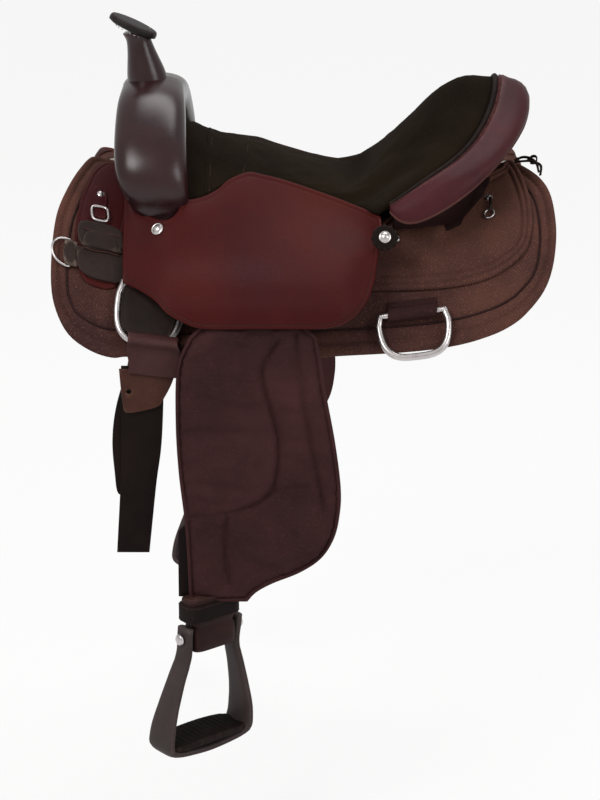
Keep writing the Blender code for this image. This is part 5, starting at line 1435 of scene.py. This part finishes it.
def stirrup_dress():
    """Leather-covered stirrups with a sewn seam and a ribbed tread, and their bolts."""
    for word, side in SIDES:
        across, depth, centre = stirrup_axes(side)

        def leaning(z):
            return across * (-STIRRUP_LEAN * (BOLT_Z - z) / (BOLT_Z - STIRRUP_BASE_Z))

        half = stirrup_frame_points()
        line = smooth_line([(-a, z) for a, z, d in half] + [(a, z) for a, z, d in half[-2::-1]], 0.005)
        stations = [Vector((-a, z)) for a, z, d in half] + [Vector((a, z)) for a, z, d in half[-2::-1]]
        deeps = [d for _, _, d in half] + [d for _, _, d in half[-2::-1]]
        rings, seam = [], []
        for i, p in enumerate(line):
            near = sorted(range(len(stations)), key=lambda k: (stations[k] - p).length)[:2]
            d0, d1 = (stations[near[0]] - p).length, (stations[near[1]] - p).length
            deep = (deeps[near[0]] * d1 + deeps[near[1]] * d0) / max(d0 + d1, 1e-9)
            way = (line[min(i + 1, len(line) - 1)] - line[max(i - 1, 0)]).normalized()
            normal = across * -way.y + Vector((0, 0, 1)) * way.x
            narrow = glide([(STIRRUP_BASE_Z, 0.95), (-0.58, 0.885), (-0.53, 0.905), (BOLT_Z, 1.0)], p.y)
            spot = centre + across * (p.x * narrow) + Vector((0, 0, p.y)) + leaning(p.y)
            rings.append(ring_at(spot, depth, normal, deep / 2, FRAME_T / 2, 28, 3.2))
            # The seam lies on the face towards -Y, which is the outer face of the near stirrup only.
            seam.append(spot - depth * side * (deep / 2 + 0.0001))
        body = f"stirrup_{word}_body"
        wear(lofted(f"stirrup_leather_cover_{word}", rings, STIRRUP), body, "stirrup_leather_grey", f"stirrup_{word}")
        seam = seam[4:-4]
        wear(stitches(f"stirrup_seam_{word}", seam, [-depth * side] * len(seam), long=0.0036, gap=0.0018), body,
             "stirrup_leather_grey")
        base = STIRRUP_BASE_Z + FRAME_T / 2 + 0.006
        tread = outline([(-0.050, -0.024), (0.050, -0.024), (0.056, 0.0), (0.050, 0.024), (-0.050, 0.024),
                         (-0.056, 0.0)], 0.005)

        def on_tread(a, b, h):
            return centre + across * a + depth * b + Vector((0, 0, h - 0.9 * a * a)) + leaning(STIRRUP_BASE_Z)

        net = filled(tread, 0.0030, (0.0005, 0.0015, 0.0030, 0.0045))
        spots = net_spots(net)
        d = distance_many(tread, spots)
        ribs = 0.0014 * np.clip(np.sin(spots[:, 0] * 2 * math.pi / 0.0078), -0.35, 0.5) * eased(0.004, 0.006, d)
        top = base + TREAD_T - 0.0024 + 0.0024 * rounded_edge(d, 0.003) + ribs
        low = np.full(len(spots), base - 0.0050) + 0.003 * (1 - eased(0, 0.006, d))
        wear(sheet_mesh(f"tread_pad_{word}", net, on_tread, low, top, STRAP), body, "dark_strap",
             f"stirrup_tread_{word}")
        # The bolt's rod and its two domed heads
        reach = EAR_HALF + FRAME_T / 2 + SLACK
        pivot = centre + Vector((0, 0, BOLT_Z))
        for sign in (-1, 1):
            head = []
            for s_, h in ((0.1, 0.0), (0.85, 0.0), (1.0, 0.0012), (1.0, 0.0026), (0.86, 0.0042), (0.6, 0.0052),
                          (0.3, 0.0057), (0.02, 0.0058)):
                head.append(ring_at(pivot + across * sign * (reach + h), depth, Vector((0, 0, 1)), 0.0076 * s_,
                                    0.0076 * s_, 24))
            wear(lofted(f"bolt_head_{'front' if sign < 0 else 'rear'}_{word}", head, STEEL), body, "steel")
        rod = [ring_at(pivot + across * a, depth, Vector((0, 0, 1)), BOLT_R, BOLT_R, 20) for a in (-reach, reach)]
        wear(lofted(f"bolt_rod_{word}", rod, STEEL), body, "steel", f"stirrup_bolt_{word}")


def neck_dress():
    """The stirrup leathers' bound necks: wrapped round the bolt, with the hobble strap and its loop."""
    for word, side in SIDES:
        across, depth, centre = stirrup_axes(side)
        body = f"fender_{word}_body"
        wide = EAR_HALF - FRAME_T / 2 - 0.0015
        profile = [(0.0165, -0.018), (0.0185, -0.010), (0.0178, 0.004), (0.0165, 0.018), (0.0160, 0.026),
                   (0.0150, 0.040), (0.0140, NECK_RISE + 0.004)]
        rings = []
        rows = smooth_line([(z, b) for b, z in profile], 0.003)
        rings.append(ring_at(centre + Vector((0, 0, BOLT_Z - 0.0186)), across, depth, wide * 0.9, 0.009, 40, 5.0))
        for row in rows:
            z, b = row.x, row.y
            squeeze = 1 - 0.07 * math.exp(-((z - 0.014) / 0.004)**2)
            more = 0.005 * ease(0.016, 0.022, z)
            rings.append(ring_at(centre + Vector((0, 0, BOLT_Z + z)), across, depth, wide * squeeze + more,
                                 b * squeeze, 40, 5.0))
        wear(lofted(f"neck_leather_{word}", rings, NECK), body, "burgundy_leather", f"hobble_strap_{word}")
        z, tall, grow = 0.0335, 0.0125, 0.0026
        band = [ring_at(centre + Vector((0, 0, BOLT_Z + z + dz * tall)), across, depth, wide + 0.005 + grow * g,
                        0.0160 + grow * g, 48, 5.0)
                for dz, g in ((-1.0, 0.0), (-0.92, 0.8), (-0.7, 1.0), (0.7, 1.0), (0.92, 0.8), (1.0, 0.0))]
        wear(lofted(f"hobble_band_{word}", band, STRAP), body, "burgundy_leather")
        for edge, height in (("low", -0.78), ("high", 0.78)):
            ring = ring_at(centre + Vector((0, 0, BOLT_Z + z + height * tall)), across, depth, wide + 0.005 + grow,
                           0.0160 + grow + 0.0001, 90, 5.0)
            outs = [(p - centre - Vector((0, 0, BOLT_Z + z))).normalized() for p in ring]
            wear(stitches(f"hobble_stitches_{edge}_{word}", ring + ring[:1], outs + outs[:1]), body,
                 "burgundy_leather")


def leather_runs():
    """The stirrup leathers: the upper run bends over the bar, the lower one hangs behind the fender."""
    rim = outline(BAR_RIM, 0.02)
    lean = math.tan(FENDER_LEAN)
    inner = FENDER_OUT_Y - FENDER_T

    def hang(z, off):
        return Vector((inner - (z - FENDER_TOP_Z) * lean - off, z))

    top = []
    for w in (0.080, 0.095, 0.110):
        edge = distance_to(rim, Vector((LEATHER_X, w)))
        h = SKIRT_TOP + BAR_RIM_T + (BAR_T - BAR_RIM_T) * ease(0.0, 0.022, edge) + 0.0060
        p = over_back(LEATHER_X, w, h)
        top.append(Vector((p.y, p.z)))
    top += [Vector((0.142, -0.002)), Vector((0.185, -0.036)), Vector((0.226, -0.074)), hang(-0.098, 0.0045),
            hang(-0.110, 0.0036), hang(-0.140, 0.0036)]
    low = [hang(-0.1415, 0.0036), hang(-0.28, 0.0036), hang(BOLT_Z + NECK_RISE + GAP, 0.0036)]
    for word, side in SIDES:
        for name, path, node_name in (("upper", top, f"stirrup_leather_{word}"),
                                      ("lower", low, f"lower_leather_{word}")):
            def spread(i, p, share):
                if name == "upper":
                    return LEATHER_X + LEATHER_W / 2 * share
                strip = ease(-0.343, -0.347, p.y)
                left, right = -0.128 - 0.0145 * strip, -0.062 - 0.010 * strip
                return (right + left) / 2 + (right - left) / 2 * share

            rings = strap_along(smooth_line(path, 0.006), side, 24, (0.2, 0.5), 0.0026, spread, lambda x: 0.0)
            piece = lofted(f"{name}_leather_run_{word}", rings, STRAP)
            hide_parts(node_name)
            if name == "upper":
                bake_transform(piece)
            else:
                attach(piece, f"fender_{word}_body")


def rear_trim():
    """A screw beside the rear rosette, a clip on a screw under the cantle, and a lace behind it."""
    for word, side in SIDES:
        place = back_on(side)
        base = SKIRT_TOP + JOCKEY_T + 0.0002
        x, w = 0.1382, 0.1315
        wear(dome(f"small_screw_{word}", place(x, w, base + 0.0095), out_from_back(side, x, w), 0.0042), "saddle",
             "steel")
        x, w = 0.2585, 0.0915
        out = out_from_back(side, x, w)
        wear(dome(f"clip_screw_{word}", place(x, w, base), out, 0.0050), "saddle", "steel")
        hook = [place(x + 0.001, w + 0.002, base + 0.003), place(x + 0.002, w + 0.008, base + 0.006),
                place(x + 0.001, w + 0.015, base + 0.0055), place(x - 0.001, w + 0.020, base + 0.004)]
        wear(tube(f"clip_strap_{word}", hook, 0.0026, STRAP, 8, squash=0.6), "saddle", "dark_strap")
        ring = [place(x - 0.001 + 0.0062 * math.cos(a), w + 0.0235 + 0.0050 * math.sin(a), base + 0.0035)
                for a in (2 * math.pi * k / 24 for k in range(24))]
        wear(tube(f"clip_ring_{word}", ring, 0.0013, STEEL, 8, True), "saddle", "steel")
        for number, points in enumerate(() if side > 0 else (
                [(0.2950, 0.036), (0.3060, 0.036), (0.3160, 0.046), (0.3220, 0.058), (0.3240, 0.072)],
                [(0.2960, 0.040), (0.3080, 0.046), (0.3170, 0.052), (0.3270, 0.064), (0.3255, 0.078)],
                [(0.3120, 0.044), (0.3180, 0.040), (0.3230, 0.046), (0.3210, 0.056), (0.3150, 0.052)])):
            line = smooth_line(points, 0.003)
            lift = [base + 0.002 + 0.0025 * math.sin(math.pi * k / (len(line) - 1)) for k in range(len(line))]
            wear(tube(f"rear_lace_{number}_{word}", [place(p.x, p.y, h) for p, h in zip(line, lift)], 0.0019, STRAP, 8,
                      squash=0.55), "saddle", "dark_strap")


# Fenders

def fender_pads():
    """The quilted fenders: the near one is steamed by the cloth solver, the far one takes its form over."""
    rim = outline(FENDER_LINE, 0.005)
    seams = [smooth_line(seam, 0.004) for seam in (REAR_SEAM, OVAL_SEAM, LOW_SEAM)]
    net = filled(rim, 0.0052, (0.0004, 0.0014, 0.0028, 0.0042, 0.0052, 0.0064), seams, (0.0014, 0.0032))
    spots = net_spots(net)
    d = distance_many(rim, spots)
    near = np.min([distance_many(seam, spots, False) for seam in seams], 0)
    piped = bead(d, 0.0024, 0.0026, 0.0032)
    panel = 0.0046 * eased(0.0050, 0.0115, d) * (0.20 + 0.80 * eased(0.0006, 0.0085, near))
    panel -= 0.0016 * groove(near, 0, 0.0014) * eased(0.005, 0.008, d)
    creases = noise_over(spots, 18, 55, 1.0)
    top = FENDER_T * 0.52 + piped + panel + 0.0011 * creases * eased(0.006, 0.015, d)
    low = np.where(d < 0.003, 0.0012, 0.0)
    sim = None
    for word, side in SIDES:
        place = fender_plane(side)
        piece = sheet_mesh(f"fender_quilt_{word}", net, place, low, top, QUILT)
        count = len(spots)
        if sim is None:
            held = np.ones(count * 2)
            grip = np.maximum(1 - eased(0.0050, 0.0085, d), 1 - eased(0.0010, 0.0040, near))
            held[count:] = np.clip(grip, 0.02, 1)
            before = np.empty(count * 6)
            piece.data.vertices.foreach_get("co", before)
            steamed(piece, held, 3.0, 0.0040, shrink=-0.05, stiff=6, bend=0.15)
            after = np.empty(count * 6)
            piece.data.vertices.foreach_get("co", after)
            sim = (after - before).reshape(-1, 3)
        else:
            spot = np.empty(count * 6)
            piece.data.vertices.foreach_get("co", spot)
            spot = spot.reshape(-1, 3) + sim * np.array((1, -1, 1))
            piece.data.vertices.foreach_set("co", spot.ravel())
            piece.data.update()
        body = f"fender_{word}_body"
        wear(piece, body, "quilted_nylon", f"fender_{word}")
        for number, seam in enumerate(seams):
            line = [p for p in seam if is_inside(rim, p) and distance_to(rim, p) > 0.006]
            spots3, ways = on_sheet(place, line, FENDER_T * 0.52 - 0.0002)
            wear(stitches(f"fender_seam_{number}_{word}", spots3, ways), body, "quilted_nylon")


skirt_pads()
rear_jockeys()
front_jockeys()
seat_jockey_leather()
seat_pad()
cantle_dress()
swell_and_horn()
conchos_and_rosettes()
rigging_dress()
rigging_straps()
latigo_dress()
keeper_dress()
stirrup_dress()
neck_dress()
leather_runs()
rear_trim()
fender_pads()

# CAD pieces that stay get their own finish
FINISH = {"burgundy_leather": BURGUNDY, "glossy_leather": GLOSSY, "suede": SUEDE, "woven_nylon": BURGUNDY,
          "quilted_nylon": BURGUNDY, "dark_strap": STRAP, "latigo_leather": LATIGO, "fleece": FLEECE,
          "tree_wood": TREE_COVER_AND_GAP_SHADE, "steel": STEEL, "stirrup_leather_grey": STIRRUP}
slots = {row["node"]: row["material_slot"] for row in frame["record"]["subparts"]}
for name, piece in frame["nodes"].items():
    look = FINISH[slots[name]]
    for index in range(len(piece.material_slots)):
        piece.material_slots[index].material = look


# Floor, backdrop and light

floor_look = bpy.data.materials.new("floor_look")
floor_look.use_nodes = True
tree = floor_look.node_tree
shader = tree.nodes["Principled BSDF"]
shader.inputs["Roughness"].default_value = 0.9
shader.inputs["Specular IOR Level"].default_value = 0.1
spot = tree.nodes.new("ShaderNodeTexCoord").outputs["Object"]
cloud = clouds(tree, spot, 1.2, 2)
tree.links.new(blend_colours(tree, cloud, (0.88, 0.88, 0.88), (0.92, 0.92, 0.92)), shader.inputs["Base Color"])
glow = node(tree, "Emission", Color=(1, 1, 1, 1), Strength=1.0)
rays = node(tree, "LightPath").outputs
seen = math_node(tree, "MAXIMUM", rays["Is Camera Ray"],
                 math_node(tree, "MAXIMUM", rays["Is Glossy Ray"], rays["Is Transmission Ray"]))
joined = node(tree, "MixShader")
tree.links.new(math_node(tree, "MULTIPLY", seen, 0.85), joined.inputs[0])
tree.links.new(shader.outputs[0], joined.inputs[1])
tree.links.new(glow.outputs[0], joined.inputs[2])
tree.links.new(joined.outputs[0], tree.nodes["Material Output"].inputs["Surface"])
FLOOR_Z = CAD_BOX[0][2] - 0.16
floor = make("floor", [(-14, -14, FLOOR_Z), (14, -14, FLOOR_Z), (14, 14, FLOOR_Z), (-14, 14, FLOOR_Z)],
             [(0, 1, 2, 3)], floor_look)

world = bpy.data.worlds.new("studio")
scene.world = world
world.use_nodes = True
tree = world.node_tree
rays = node(tree, "LightPath").outputs
background = tree.nodes["Background"]
background.inputs["Color"].default_value = (1, 1, 1, 1)
mirrored = math_node(tree, "MAXIMUM", rays["Is Glossy Ray"], rays["Is Transmission Ray"])
level = math_node(tree, "MULTIPLY_ADD", mirrored, 0.10, 0.50)
tree.links.new(math_node(tree, "MAXIMUM", rays["Is Camera Ray"], level), background.inputs["Strength"])


def lamp(name, at, aim, size, power, colour=(1, 1, 1)):
    light = bpy.data.lights.new(name, "AREA")
    light.shape = "RECTANGLE"
    light.size, light.size_y = size
    light.energy = power
    light.color = colour
    made = bpy.data.objects.new(name, light)
    scene.collection.objects.link(made)
    made.location = at
    made.rotation_euler = (Vector(aim) - Vector(at)).to_track_quat("-Z", "Y").to_euler()


lamp("key_light", (-1.6, -2.0, 2.2), (0, 0, -0.1), (1.4, 1.0), 46, (1.0, 0.985, 0.97))
lamp("fill_light", (2.2, -1.8, 1.3), (0, 0, -0.15), (1.2, 1.2), 22, (0.97, 0.985, 1.0))
lamp("top_light", (0.3, 0.9, 2.4), (0, 0, 0), (1.8, 1.0), 26)
